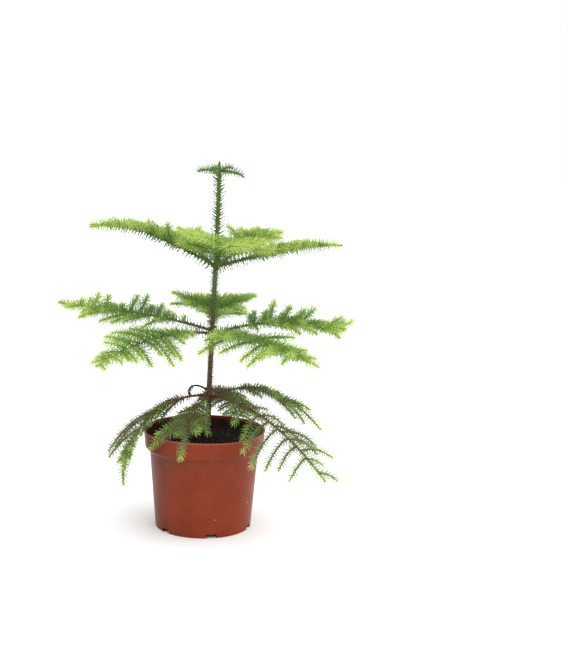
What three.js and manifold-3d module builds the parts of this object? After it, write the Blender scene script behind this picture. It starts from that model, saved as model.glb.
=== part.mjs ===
// A young Norfolk Island pine in a nursery pot: whorls of boughs round one leaning stem.
// Millimetres, +Z up. The origin is the centre of the pot's flat underside, and -Y is the front.
// Every bough is a plain limb that ends where its foliage begins. Each mass of foliage is one
// solid: a stem that carries on from the bough, twigs in pairs along it, and needles on both.

import * as THREE from "three";
import { mergeVertices } from "three/addons/utils/BufferGeometryUtils.js";
import Module from "manifold-3d";

// Driving dimensions, in millimetres and degrees

const GAP = 0.3; // clear space between two pieces that meet

const POT = {
  height: 105,
  rimRadius: 65,
  collarHeight: 18,
  collarFootRadius: 62.8,
  shoulderHeight: 3.5,
  shoulderRadius: 57.9,
  footRadius: 51,
  wall: 1.4,
  floor: 2.4,
  lip: 0.7,
  sides: 40,
};

// Drainage notches in the foot, each cut through wall and floor.
const NOTCH = { count: 6, firstAzimuth: 40, width: 11, height: 4.2, inner: 43, outer: 53 };

const SOIL = { top: 95, edgeDrop: 2, flatRadius: 30 };

const STEM = {
  tip: 388,
  footOffset: 3.7, // towards +X from the pot's axis
  lean: 7.3,
  tipRadius: 1.5,
  taper: 1.5,
  taperPower: 1.2,
  flare: 1.5,
  flareHeight: 7,
  whorlSwell: 0.6,
  whorlSwellHeight: 5,
  sides: 6,
  ringStep: 7.5,
  firstNeedle: 152,
  whorlBare: 11, // no needles this near a whorl
};

const NEEDLE = { length: 8.5, angle: 50 };

const TWIG = {
  segment: 9.5,
  sides: 3,
  rootRadius: 1.0,
  tipRadius: 0.6,
  shortest: 9,
  step: 2, // how finely a twig feels its way
  tipShare: 0.3, // length of the last twig, as a share of the longest
  shortening: 1.8, // how late twigs shorten towards the tip of their limb
  fullFrom: 0.5, // way along the limb from which twigs have their full length
  hang: 1, // how late a twig's droop sets in
  tipDroop: 0.4, // share of the droop that is left at the tip of the limb
  narrowing: 8, // degrees that twigs close up towards the tip of their limb, unless it says otherwise
  pairOffset: 0.3, // how far the two twigs of a pair stand apart, as a share of the spacing
  bareSegments: 1, // without needles, at the foot of a shoot
};

// stagger: how much the heights of one whorl's limbs differ, dealt out by staggerTurn.
const LIMB = { sides: 6, segments: 5, stagger: 6, staggerTurn: 0.4 };

// height: where the whorl leaves the stem. liftSpread, lengthSpread: how unevenly neighbouring
// twigs rise, in degrees, and grow, as a share. innermost: the share of its full length that the
// first twig has. Of a bough, bend says how early it turns, low is early, bare is the share that
// carries no twigs, and elbow how far past halfway to the bough on its right its room reaches, in
// degrees. Of its twigs, longest is in millimetres, angle is how far off the bough the innermost
// stand, narrowing how much closer to it the outermost do, lift how far they rise, tilt how much
// further on the left, favour the share by which they outgrow the rest there, droop how far they
// hang, 0 for straight, and bareTip the share of the needled part beyond the last.
const WHORLS = [
  {
    name: "lower",
    height: 139,
    rootRadius: 1.5,
    endRadius: 1.1,
    liftSpread: 34,
    lengthSpread: 0.45,
    innermost: 0.6,
    boughs: [
      {
        azimuth: 16, length: 152, rootPitch: 52, tipPitch: -53, bend: 0.5, bare: 0.14,
        twig: { pairs: 5, longest: 48, angle: 46, lift: 10, favour: -0.3, droop: 1.4, bareTip: 0.3 },
      },
      {
        azimuth: 70, length: 122, rootPitch: 38, tipPitch: -58, bend: 0.5, bare: 0.16,
        twig: { pairs: 8, longest: 54, angle: 74, lift: 6, droop: 1.6, bareTip: 0.05 },
      },
      {
        azimuth: 198, length: 154, rootPitch: 8, tipPitch: -100, bend: 1.0, bare: 0.12,
        twig: { pairs: 8, longest: 92, angle: 58, tilt: 6, favour: -0.25, droop: 1.4, bareTip: 0.22 },
      },
      {
        azimuth: 250, length: 106, rootPitch: 35, tipPitch: -62, bend: 0.5, bare: 0.14, elbow: 7,
        twig: { pairs: 9, longest: 54, angle: 84, lift: 6, favour: -0.5, droop: 2.6, bareTip: 0.24 },
      },
      {
        azimuth: 317, length: 180, rootPitch: 20, tipPitch: -42, bend: 0.5, bare: 0.12,
        twig: { pairs: 5, longest: 84, angle: 86, lift: 2, droop: 1.9, bareTip: 0.06 },
      },
    ],
  },
  {
    name: "middle",
    height: 209,
    rootRadius: 1.5,
    endRadius: 1.1,
    liftSpread: 34,
    lengthSpread: 0.4,
    innermost: 1,
    boughs: [
      {
        azimuth: 6, length: 148, rootPitch: 23, tipPitch: -16, bend: 0.8, bare: 0.2,
        twig: {
          pairs: 8, longest: 74, angle: 86, narrowing: 42,
          lift: 4, tilt: 4, favour: 0.12, droop: 0.2, bareTip: 0.06,
        },
      },
      {
        azimuth: 90, length: 132, rootPitch: 24, tipPitch: -5, bend: 0.8, bare: 0.22,
        twig: { pairs: 5, longest: 72, angle: 70, lift: 4, droop: 0.25, bareTip: 0.05 },
      },
      {
        azimuth: 155, length: 188, rootPitch: 11.5, tipPitch: -1.5, bend: 0.8, bare: 0.18,
        twig: { pairs: 7, longest: 60, angle: 76, lift: 8, tilt: -6, droop: 0.2, bareTip: 0.06 },
      },
      {
        azimuth: 219, length: 154, rootPitch: 14, tipPitch: -25, bend: 0.8, bare: 0.13,
        twig: { pairs: 8, longest: 62, angle: 84, lift: 6, tilt: -6, droop: 0.9, bareTip: 0.05 },
      },
      {
        azimuth: 305, length: 168, rootPitch: 7, tipPitch: -9.5, bend: 0.8, bare: 0.11, elbow: 7,
        twig: {
          pairs: 7, longest: 64, angle: 86, narrowing: 34,
          lift: 2, tilt: -6, favour: -0.2, droop: 0.5, bareTip: 0.06,
        },
      },
    ],
  },
  {
    name: "upper",
    height: 278,
    rootRadius: 1.5,
    endRadius: 1.1,
    liftSpread: 18,
    lengthSpread: 0.35,
    innermost: 1,
    boughs: [
      {
        azimuth: 56, length: 112, rootPitch: 25, tipPitch: -10, bend: 3, bare: 0.26,
        twig: { pairs: 6, longest: 54, angle: 62, lift: 10, droop: 0.25, bareTip: 0.1 },
      },
      {
        azimuth: 126, length: 96, rootPitch: 24, tipPitch: -10, bend: 3, bare: 0.28,
        twig: { pairs: 6, longest: 44, angle: 62, lift: 14, droop: 0.25, bareTip: 0.12 },
      },
      {
        azimuth: 194, length: 141, rootPitch: 28, tipPitch: -16, bend: 3, bare: 0.28,
        twig: { pairs: 5, longest: 42, angle: 62, lift: 11, tilt: 9, droop: 0.2, bareTip: 0.06 },
      },
      {
        azimuth: 276, length: 118, rootPitch: 26, tipPitch: -10, bend: 3, bare: 0.34,
        twig: { pairs: 5, longest: 66, angle: 68, lift: 11, tilt: -5, droop: 0.25, bareTip: 0.06 },
      },
      {
        azimuth: 350, length: 135, rootPitch: 16.5, tipPitch: -3, bend: 3, bare: 0.28,
        twig: { pairs: 6, longest: 36, angle: 62, lift: 12, tilt: -4, droop: 0.2, bareTip: 0.24 },
      },
    ],
  },
];

// New shoots just under the tip of the stem, too young to carry twigs.
const SPROUT = { height: 378, radius: 1.2, bend: 1.5, segment: 5.5 };
const SPROUTS = [
  { azimuth: 42, length: 19, rootPitch: 24, tipPitch: -6 },
  { azimuth: 114, length: 20, rootPitch: 18, tipPitch: -14 },
  { azimuth: 186, length: 22, rootPitch: 14, tipPitch: -20 },
  { azimuth: 258, length: 17, rootPitch: 12, tipPitch: -24 },
  { azimuth: 334, length: 29, rootPitch: 6, tipPitch: -32 },
];

// A dead limb that has dried to a short curl.
const DRY_CURL = {
  height: 145.5,
  azimuth: 162,
  length: 31,
  rootPitch: 32,
  tipPitch: -125,
  bend: 2.2,
  rootRadius: 1.2,
  tipRadius: 0.9,
  segments: 9,
};

const COLOURS = {
  pot: 0xa8452f,
  soil: 0x2b211c,
  stem: 0x6b5a3c,
  bough: { lower: 0x6a4a34, middle: 0x7d6a3f, upper: 0x5f7d3a },
  foliage: { lower: 0x5f7f3a, middle: 0x6f9a3f, upper: 0x86b545 },
  dry: 0x5a4030,
};

const UP = new THREE.Vector3(0, 0, 1);
const radians = THREE.MathUtils.degToRad;

const wasm = await Module();
wasm.setup();

// Solids

function solidOf(geometry) {
  const bare = geometry.clone();
  bare.deleteAttribute("normal");
  bare.deleteAttribute("uv");
  const merged = mergeVertices(bare, 1e-4);
  return new wasm.Manifold(
    new wasm.Mesh({
      numProp: 3,
      vertProperties: merged.attributes.position.array,
      triVerts: new Uint32Array(merged.index.array),
    }),
  );
}

function geometryOf(solid) {
  const mesh = solid.getMesh();
  return new THREE.BufferGeometry()
    .setAttribute("position", new THREE.BufferAttribute(mesh.vertProperties, 3))
    .setIndex(new THREE.BufferAttribute(mesh.triVerts, 1));
}

// A number from 0 to 1 that is always the same for the same seed.
function seeded(seed) {
  const x = Math.sin(seed * 12.9898) * 43758.5453;
  return x - Math.floor(x);
}

function direction(azimuth, pitch) {
  return new THREE.Vector3(
    Math.cos(pitch) * Math.cos(azimuth),
    Math.cos(pitch) * Math.sin(azimuth),
    Math.sin(pitch),
  );
}

// Lines of growth

// The stem's axis leans in a soft S from its foot to its tip.
function stemAt(height) {
  const share = THREE.MathUtils.smoothstep(height, SOIL.top, STEM.tip);
  return new THREE.Vector3(STEM.footOffset + STEM.lean * share, 0, height);
}

function stemRadius(height) {
  const share = (height - SOIL.top) / (STEM.tip - SOIL.top);
  const taper = STEM.taper * Math.pow(Math.max(0, 1 - share), STEM.taperPower);
  const flare = STEM.flare * Math.exp((SOIL.top - height) / STEM.flareHeight);
  const swell = WHORLS.map((whorl) =>
    Math.exp(-Math.pow((height - whorl.height) / STEM.whorlSwellHeight, 2)),
  );
  return STEM.tipRadius + taper + flare + STEM.whorlSwell * Math.max(...swell);
}

// The line of a limb: its pitch turns from the root's to the tip's, by a power of the way along.
function limbLine({ root, azimuth, length, rootPitch, tipPitch, bend }, steps = 60) {
  const points = [root.clone()];
  for (let i = 0; i < steps; i++) {
    const way = Math.pow((i + 0.5) / steps, bend);
    const pitch = radians(THREE.MathUtils.lerp(rootPitch, tipPitch, way));
    const step = direction(radians(azimuth), pitch).multiplyScalar(length / steps);
    points.push(points[i].clone().add(step));
  }
  return new THREE.CatmullRomCurve3(points);
}

// The line of a twig: it leaves its limb straight and hangs more the further it gets.
function twigLine(root, heading, length, droop) {
  const steps = Math.round(length / TWIG.step);
  const points = [root.clone()];
  for (let i = 0; i < steps; i++) {
    const hang = UP.clone().multiplyScalar(-droop * Math.pow((i + 0.5) / steps, TWIG.hang));
    const step = heading.clone().add(hang).setLength(TWIG.step);
    points.push(points[i].clone().add(step));
  }
  return points;
}

// Evenly spaced points of a curve between two shares of its length.
function stretch(curve, from, to, segments) {
  const at = (i) => curve.getPointAt(THREE.MathUtils.lerp(from, to, i / segments));
  return Array.from({ length: segments + 1 }, (_, i) => at(i));
}

// Limbs and needles

// A flat-sided tapering limb along a line of points, from a flat cut at its root to a point or,
// where cutTip is true, to a second flat cut. Where needled(segment, side) is true, one of the
// two triangles of that face is drawn out to a needle, which leaves it a broad running foot.
function limbGeometry(points, { sides, radiusAt, needled = () => false, cutTip = false }) {
  const count = points.length;
  const along = points.map((p, i) =>
    points[Math.min(i + 1, count - 1)].clone().sub(points[Math.max(i - 1, 0)]).normalize(),
  );
  const across = along.reduce((found, heading, i) => {
    const last = i ? found[i - 1] : new THREE.Vector3().crossVectors(UP, heading);
    if (last.lengthSq() < 1e-6) last.set(1, 0, 0);
    found.push(last.clone().addScaledVector(heading, -last.dot(heading)).normalize());
    return found;
  }, []);
  const outward = (i, turn) => {
    const lift = new THREE.Vector3().crossVectors(along[i], across[i]);
    return across[i].clone().multiplyScalar(Math.cos(turn)).addScaledVector(lift, Math.sin(turn));
  };
  const corner = (i, k) => {
    const turn = (2 * Math.PI * (k % sides)) / sides + Math.PI / 2;
    return points[i].clone().addScaledVector(outward(i, turn), radiusAt(i / (count - 1)));
  };

  const triangles = [];
  const needle = (a, b, c, i, k) => {
    const foot = a.clone().add(b).add(c).divideScalar(3);
    const turn = (2 * Math.PI * (k + 0.5)) / sides + Math.PI / 2;
    const angle = radians(NEEDLE.angle);
    const point = foot
      .addScaledVector(outward(i, turn), NEEDLE.length * Math.sin(angle))
      .addScaledVector(along[i], NEEDLE.length * Math.cos(angle));
    triangles.push([a, b, point], [b, c, point], [c, a, point]);
  };

  const rings = cutTip ? count : count - 1;
  for (let i = 0; i + 1 < rings; i++) {
    for (let k = 0; k < sides; k++) {
      const [a, b] = [corner(i, k), corner(i, k + 1)];
      const [c, d] = [corner(i + 1, k), corner(i + 1, k + 1)];
      const pair = [
        [a, b, c],
        [b, d, c],
      ];
      const drawn = needled(i, k) ? (i + k) % 2 : -1;
      pair.forEach((face, n) => (n === drawn ? needle(...face, i, k) : triangles.push(face)));
    }
  }
  for (let k = 1; k + 1 < sides; k++) {
    triangles.push([corner(0, 0), corner(0, k + 1), corner(0, k)]);
    if (cutTip) triangles.push([0, k, k + 1].map((n) => corner(rings - 1, n)));
  }
  for (let k = 0; !cutTip && k < sides; k++) {
    triangles.push([corner(rings - 1, k), corner(rings - 1, k + 1), points[count - 1]]);
  }
  const flat = new Float32Array(triangles.flat().flatMap((p) => p.toArray()));
  return new THREE.BufferGeometry().setAttribute("position", new THREE.BufferAttribute(flat, 3));
}

const taperFrom = (root, tip) => (share) => THREE.MathUtils.lerp(root, tip, share);

// A needled shoot: bare at its foot, where it is sunk in what carries it. On each segment two
// of the three sides bear a needle, a different two each time.
function shootSolid(points, rootRadius) {
  return solidOf(
    limbGeometry(points, {
      sides: TWIG.sides,
      radiusAt: taperFrom(rootRadius, TWIG.tipRadius),
      needled: (segment, side) => segment >= TWIG.bareSegments && (segment + side) % 3 !== 0,
    }),
  );
}

// The room that a mass of foliage keeps to

const needleReach = NEEDLE.length * Math.sin(radians(NEEDLE.angle)) + TWIG.rootRadius;
const innerRimRadius = POT.collarFootRadius - POT.wall;

// How far a point is from the soil and from the pot's rim and wall.
function potGap(point) {
  const radius = Math.hypot(point.x, point.y);
  const beside = Math.max(innerRimRadius - radius, 0, radius - POT.rimRadius);
  const rimGap = Math.hypot(beside, Math.max(point.z - POT.height, 0));
  return radius < innerRimRadius ? Math.min(rimGap, point.z - SOIL.top) : rimGap;
}

// How far a point is from the stem's bark and its needles.
function stemGap(point) {
  const axis = stemAt(point.z);
  const bark = stemRadius(point.z);
  return Math.hypot(point.x - axis.x, point.y - axis.y) - bark - needleReach;
}

// Each mass has the wedge about halfway to the boughs on either side of its own. An elbow takes
// its degrees from the bough on the right.
function wedgeOf(whorl, index) {
  const { boughs } = whorl;
  const [last, own, next] = [-1, 0, 1].map((step) => boughs.at((index + step) % boughs.length));
  const halfTurn = (from, to) => THREE.MathUtils.euclideanModulo(to.azimuth - from.azimuth, 360) / 2;
  const low = own.azimuth - halfTurn(last, own) - (own.elbow ?? 0);
  const high = own.azimuth + halfTurn(own, next) - (next.elbow ?? 0);
  return { low: radians(low), high: radians(high), apex: stemAt(whorl.height) };
}

function wedgeGap(point, { low, high, apex }) {
  const x = point.x - apex.x;
  const y = point.y - apex.y;
  const pastLow = y * Math.cos(low) - x * Math.sin(low);
  const beforeHigh = x * Math.sin(high) - y * Math.cos(high);
  return Math.min(pastLow, beforeHigh);
}

// Sub-parts

function potProfile() {
  const collarFoot = POT.height - POT.collarHeight;
  const shoulder = collarFoot - POT.shoulderHeight;
  return [
    [0, 0],
    [POT.footRadius, 0],
    [POT.shoulderRadius, shoulder],
    [POT.collarFootRadius, collarFoot],
    [POT.rimRadius - POT.lip, POT.height - 2 * POT.lip],
    [POT.rimRadius, POT.height - POT.lip],
    [POT.rimRadius - POT.lip, POT.height],
    [POT.rimRadius - POT.wall, POT.height],
    [POT.collarFootRadius - POT.wall, collarFoot + POT.wall / 2],
    [POT.shoulderRadius - POT.wall, shoulder + POT.wall / 2],
    [POT.footRadius - POT.wall, POT.floor],
    [0, POT.floor],
  ].map(([radius, height]) => new THREE.Vector2(radius, height));
}

// Lathed about +Z from points of radius and height.
function turned(profile) {
  return new THREE.LatheGeometry(profile, POT.sides).rotateX(Math.PI / 2);
}

function potSolid() {
  const depth = NOTCH.outer - NOTCH.inner;
  const notches = Array.from({ length: NOTCH.count }, (_, i) => {
    const azimuth = radians(NOTCH.firstAzimuth + (360 * i) / NOTCH.count);
    const box = new THREE.BoxGeometry(depth, NOTCH.width, 2 * NOTCH.height);
    box.translate(NOTCH.inner + depth / 2, 0, 0).rotateZ(azimuth);
    return solidOf(box);
  });
  return notches.reduce((pot, notch) => pot.subtract(notch), solidOf(turned(potProfile())));
}

function soilGeometry() {
  const clear = POT.wall + GAP;
  const collarFoot = POT.height - POT.collarHeight;
  const shoulder = collarFoot - POT.shoulderHeight;
  const edge = SOIL.top - SOIL.edgeDrop;
  const profile = [
    [0, POT.floor + GAP],
    [POT.footRadius - clear, POT.floor + GAP],
    [POT.shoulderRadius - clear - GAP, shoulder + POT.wall / 2 + GAP],
    [POT.collarFootRadius - clear - GAP, collarFoot + POT.wall / 2 + GAP],
    [POT.collarFootRadius - clear, edge],
    [SOIL.flatRadius, SOIL.top - GAP],
    [0, SOIL.top - GAP],
  ];
  return turned(profile.map(([radius, height]) => new THREE.Vector2(radius, height)));
}

const stemSegments = Math.round((STEM.tip - SOIL.top) / STEM.ringStep);
const stemHeight = (share) => THREE.MathUtils.lerp(SOIL.top, STEM.tip, share);

function stemLine() {
  return Array.from({ length: stemSegments + 1 }, (_, i) => stemAt(stemHeight(i / stemSegments)));
}

function stemGeometry() {
  const whorls = [...WHORLS.map((whorl) => whorl.height), DRY_CURL.height, SPROUT.height];
  const needled = (segment, side) => {
    const height = stemHeight((segment + 0.5) / stemSegments);
    const clear = whorls.every((whorl) => Math.abs(height - whorl) > STEM.whorlBare);
    return clear && height > STEM.firstNeedle && (segment + side) % 2 === 0;
  };
  const radiusAt = (share) => stemRadius(stemHeight(share));
  return limbGeometry(stemLine(), { sides: STEM.sides, radiusAt, needled, cutTip: true });
}

// The stem's bark with a gap round it, which limbs that meet the stem are cut by.
function stemCutter() {
  const radiusAt = (share) => stemRadius(stemHeight(share)) + GAP;
  return solidOf(limbGeometry(stemLine(), { sides: STEM.sides, radiusAt, cutTip: true }));
}

// Boughs of one whorl leave the stem at slightly different heights.
function boughCurve(whorl, index) {
  const rise = LIMB.stagger * (((LIMB.staggerTurn * index) % 1) - LIMB.staggerTurn);
  const root = stemAt(whorl.height + rise);
  return limbLine({ ...whorl.boughs[index], root });
}

function boughSolid(whorl, index, cutter) {
  const { bare, length } = whorl.boughs[index];
  const end = bare - GAP / 2 / length;
  const points = stretch(boughCurve(whorl, index), 0, end, LIMB.segments);
  const radiusAt = taperFrom(whorl.rootRadius, whorl.endRadius);
  return solidOf(limbGeometry(points, { sides: LIMB.sides, radiusAt, cutTip: true })).subtract(cutter);
}

// The twigs of one limb, in loose pairs that shorten towards its tip. Each stops where its
// needles would leave the limb's own room, and one that stays too short is left out.
function twigLines(whorl, index, curve) {
  const { liftSpread, lengthSpread, innermost } = whorl;
  const bough = whorl.boughs[index];
  const { pairs, longest, angle, droop, bareTip } = bough.twig;
  const { narrowing = TWIG.narrowing, lift = 0, tilt = 0, favour = 0 } = bough.twig;
  const wedge = wedgeOf(whorl, index);
  const hasRoom = (p) =>
    Math.min(wedgeGap(p, wedge), potGap(p), stemGap(p)) > needleReach + GAP;
  const lines = [];
  for (let pair = 0; pair < pairs; pair++) {
    for (const side of [-1, 1]) {
      const seed = 1000 * whorl.height + 100 * index + 2 * pair + (side > 0 ? 1 : 0);
      const way = (pair + 0.5 + TWIG.pairOffset * (side + seeded(seed) - 0.5)) / pairs;
      const share = THREE.MathUtils.lerp(bough.bare, 1, way * (1 - bareTip));
      const along = curve.getTangentAt(share);
      const aside = new THREE.Vector3().crossVectors(UP, along).normalize();
      const above = new THREE.Vector3().crossVectors(along, aside);
      const spread = radians(angle - narrowing * way);
      const rise = lift + side * tilt + liftSpread * (seeded(seed + 0.25) - 0.5);
      const heading = along
        .clone()
        .multiplyScalar(Math.cos(spread))
        .addScaledVector(aside, side * Math.sin(spread))
        .addScaledVector(above, Math.sin(radians(rise)));
      const inner = THREE.MathUtils.lerp(innermost, 1, Math.min(1, way / TWIG.fullFrom));
      const shorter = inner * THREE.MathUtils.lerp(1, TWIG.tipShare, Math.pow(way, TWIG.shortening));
      const uneven = 1 + side * favour + lengthSpread * (seeded(seed + 0.5) - 0.5);
      const hang = droop * THREE.MathUtils.lerp(1, TWIG.tipDroop, way);
      const line = twigLine(curve.getPointAt(share), heading, longest * shorter * uneven, hang);
      const blocked = line.findIndex((p) => !hasRoom(p));
      const free = blocked < 0 ? line : line.slice(0, blocked);
      if (free.length * TWIG.step >= TWIG.shortest) lines.push(free);
    }
  }
  return lines;
}

// A twig's fine line at the coarser spacing of its flat-sided segments.
function coarser(line) {
  const segments = Math.max(2, Math.round(((line.length - 1) * TWIG.step) / TWIG.segment));
  const at = (i) => line[Math.round((i * (line.length - 1)) / segments)];
  return Array.from({ length: segments + 1 }, (_, i) => at(i));
}

function foliageSolid(whorl, index) {
  const curve = boughCurve(whorl, index);
  const { bare, length } = whorl.boughs[index];
  const begin = bare + GAP / 2 / length;
  const segments = Math.round(((1 - begin) * length) / TWIG.segment);
  const stem = shootSolid(stretch(curve, begin, 1, segments), whorl.endRadius);
  const twigs = twigLines(whorl, index, curve).map((line) => shootSolid(coarser(line), TWIG.rootRadius));
  return wasm.Manifold.union([stem, ...twigs]);
}

function sproutSolid(sprout, cutter) {
  const curve = limbLine({ ...SPROUT, ...sprout, root: stemAt(SPROUT.height) });
  const segments = Math.round(sprout.length / SPROUT.segment);
  return shootSolid(stretch(curve, 0, 1, segments), SPROUT.radius).subtract(cutter);
}

function dryCurlSolid(cutter) {
  const curve = limbLine({ ...DRY_CURL, root: stemAt(DRY_CURL.height) });
  const radiusAt = taperFrom(DRY_CURL.rootRadius, DRY_CURL.tipRadius);
  const points = stretch(curve, 0, 1, DRY_CURL.segments);
  return solidOf(limbGeometry(points, { sides: LIMB.sides, radiusAt, cutTip: true })).subtract(cutter);
}

// The plant

function piece(name, geometry, color, roughness = 0.8) {
  const material = new THREE.MeshStandardMaterial({ color, roughness, metalness: 0, flatShading: true });
  const mesh = new THREE.Mesh(geometry, material);
  mesh.name = name;
  return mesh;
}

const plant = new THREE.Group();
const cutter = stemCutter();

plant.add(piece("pot", geometryOf(potSolid()), COLOURS.pot, 0.45));
plant.add(piece("soil", soilGeometry(), COLOURS.soil, 1));
plant.add(piece("trunk", stemGeometry(), COLOURS.stem));
for (const whorl of WHORLS) {
  whorl.boughs.forEach((_, i) => {
    const bough = geometryOf(boughSolid(whorl, i, cutter));
    const foliage = geometryOf(foliageSolid(whorl, i));
    plant.add(piece(`${whorl.name}_bough_${i + 1}`, bough, COLOURS.bough[whorl.name]));
    plant.add(piece(`${whorl.name}_foliage_${i + 1}`, foliage, COLOURS.foliage[whorl.name]));
  });
}
SPROUTS.forEach((sprout, i) => {
  const geometry = geometryOf(sproutSolid(sprout, cutter));
  plant.add(piece(`leader_foliage_${i + 1}`, geometry, COLOURS.foliage.upper));
});
plant.add(piece("dry_curl", geometryOf(dryCurlSolid(cutter)), COLOURS.dry));

export default plant;
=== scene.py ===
"""Dress for a young Norfolk Island pine in a nursery pot.

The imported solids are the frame. Bark, twigs and needles grow here by the same rule as the solids, with
twigs between their twigs and every needle in its own outline, and the pot and its soil get their smooth
and crumbly surfaces. Lengths are millimetres and angles degrees until a mesh is made, in metres.
+Z is up and -Y is the front.
"""

from __future__ import annotations

import functools
import itertools
import logging
import math
from dataclasses import dataclass
from enum import Enum

import bpy
import numpy as np
from mathutils import Matrix, Vector

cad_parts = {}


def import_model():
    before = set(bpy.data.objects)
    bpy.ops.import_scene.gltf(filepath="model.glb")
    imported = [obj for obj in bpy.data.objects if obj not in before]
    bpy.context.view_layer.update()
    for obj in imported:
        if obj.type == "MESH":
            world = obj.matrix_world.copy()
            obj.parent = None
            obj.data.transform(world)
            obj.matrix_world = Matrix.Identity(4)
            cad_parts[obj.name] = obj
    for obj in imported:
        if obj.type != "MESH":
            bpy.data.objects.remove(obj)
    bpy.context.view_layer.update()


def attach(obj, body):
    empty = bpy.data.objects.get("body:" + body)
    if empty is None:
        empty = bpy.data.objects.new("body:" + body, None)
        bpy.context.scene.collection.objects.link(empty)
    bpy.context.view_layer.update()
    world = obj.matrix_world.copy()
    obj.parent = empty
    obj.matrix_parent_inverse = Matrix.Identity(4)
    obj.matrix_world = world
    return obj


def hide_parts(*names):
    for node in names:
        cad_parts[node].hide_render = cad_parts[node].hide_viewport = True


Array = np.ndarray
Pair = tuple[float, float]
Trio = tuple[float, float, float]
Socket = bpy.types.NodeSocket
log = logging.getLogger("potted_pine")

MM = 0.001
UP = np.array((0.0, 0.0, 1.0))
FULL_TURN = 2.0 * math.pi
GOLDEN_RATIO = (1.0 + math.sqrt(5.0)) / 2.0
GOLDEN_TURN = math.pi * (3.0 - math.sqrt(5.0))
SINE_RATE = 12.9898
SINE_SIZE = 43758.5453
LATTICE_WEIGHTS = np.array((0.731, 3.117, 7.473))
CLEARANCE = 0.3
BODY = "root"


# Numbers and lines


def seeded(seed: Array | float) -> Array:
    """A number from 0 to 1 that is always the same for the same seed: the loose end of a large sine."""
    large = np.sin(np.asarray(seed, dtype=float) * SINE_RATE) * SINE_SIZE
    return large - np.floor(large)


def blend(start: Array | float, end: Array | float, way: Array | float) -> Array | float:
    """The value a share of the way from start to end."""
    return start + (end - start) * way


def ease(value: Array, low: float, high: float) -> Array:
    """0 below low, 1 above high, and the cubic 3w^2 - 2w^3 of the way w between them."""
    way = np.clip((value - low) / (high - low), 0.0, 1.0)
    return way * way * (3.0 - 2.0 * way)


def unit(vectors: Array) -> Array:
    """The vectors at length 1."""
    return vectors / np.linalg.norm(vectors, axis=-1, keepdims=True)


def around(count: int) -> Array:
    """The angles of a full turn in this many even steps."""
    return FULL_TURN * np.arange(count) / count


def grain(points: Array, size: float, seed: float = 0.0) -> Array:
    """Smooth noise from -1 to 1: a seeded value at each corner of a cubic lattice, eased between corners.

    Args:
        points: Places of shape (..., 3).
        size: The width of one cell of the lattice.
        seed: Chooses another pattern.

    Returns:
        One number for each place.
    """
    place = points / size
    cell = np.floor(place)
    way = ease(place - cell, 0.0, 1.0)
    total = np.zeros(points.shape[:-1])
    for corner in itertools.product((0.0, 1.0), repeat=3):
        near = np.where(np.array(corner) > 0.5, way, 1.0 - way).prod(axis=-1)
        total += near * seeded((cell + corner) @ LATTICE_WEIGHTS + seed)
    return 2.0 * total - 1.0


@dataclass(frozen=True)
class Line:
    """A line of growth through points, in one upright plane, whose azimuth is in degrees from +X."""

    points: Array
    azimuth: float

    @functools.cached_property
    def distances(self) -> Array:
        """How far along the line each of its points is."""
        steps = np.linalg.norm(np.diff(self.points, axis=0), axis=1)
        return np.concatenate([[0.0], np.cumsum(steps)])

    @functools.cached_property
    def headings(self) -> Array:
        """The line's direction at each of its points."""
        return unit(np.gradient(self.points, axis=0))

    @property
    def length(self) -> float:
        """The length along the line."""
        return float(self.distances[-1])

    @property
    def aside(self) -> Array:
        """The level direction square to the line's plane."""
        turn = math.radians(self.azimuth)
        return np.array((-math.sin(turn), math.cos(turn), 0.0))

    def read(self, values: Array, distance: Array | float) -> Array:
        """Values that are given at the line's points, read at these distances along it."""
        columns = [np.interp(distance, self.distances, column) for column in values.T]
        return np.stack(columns, axis=-1)

    def at(self, distance: Array | float) -> Array:
        """The places at these distances along the line."""
        return self.read(self.points, distance)

    def frame(self, distance: Array | float) -> tuple[Array, Array, Array]:
        """Three square directions at each distance.

        Args:
            distance: Distances along the line.

        Returns:
            The directions along the line, level across it, and across it on its upper side.
        """
        along = unit(self.read(self.headings, distance))
        aside = np.broadcast_to(self.aside, along.shape)
        return along, aside, np.cross(along, aside)


def limb_line(root: Array, limb: Limb, steps: int = 60) -> Line:
    """The line of a limb: its pitch turns from the root's to the tip's by a power of the way along.

    Args:
        root: Where it leaves the middle of the stem.
        limb: Its direction, length, pitches and bend.
        steps: How many straight steps make up the line.

    Returns:
        The line.
    """
    way = ((np.arange(steps) + 0.5) / steps) ** limb.bend
    pitch = np.radians(blend(limb.root_pitch, limb.tip_pitch, way))
    turn = math.radians(limb.azimuth)
    heading = [np.cos(pitch) * math.cos(turn), np.cos(pitch) * math.sin(turn), np.sin(pitch)]
    walk = np.cumsum(np.stack(heading, axis=1) * limb.length / steps, axis=0)
    return Line(root + np.vstack([np.zeros(3), walk]), limb.azimuth)


def ring_points(line: Line, distances: Array, radii: Array, sides: int) -> Array:
    """A round section carried along a line: centre + radius * (cos * aside + sin * above).

    Args:
        line: The line that it follows.
        distances: Where along the line each ring stands.
        radii: A radius for each ring, or for each point of each ring.
        sides: Points in a ring.

    Returns:
        Points of shape (rings, sides, 3).
    """
    turn = around(sides)
    _, aside, above = line.frame(distances)
    outward = np.cos(turn)[:, None] * aside[:, None] + np.sin(turn)[:, None] * above[:, None]
    wide = np.broadcast_to(np.asarray(radii).reshape(len(distances), -1), (len(distances), sides))
    return line.at(distances)[:, None] + outward * wide[..., None]


# Meshes


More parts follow.
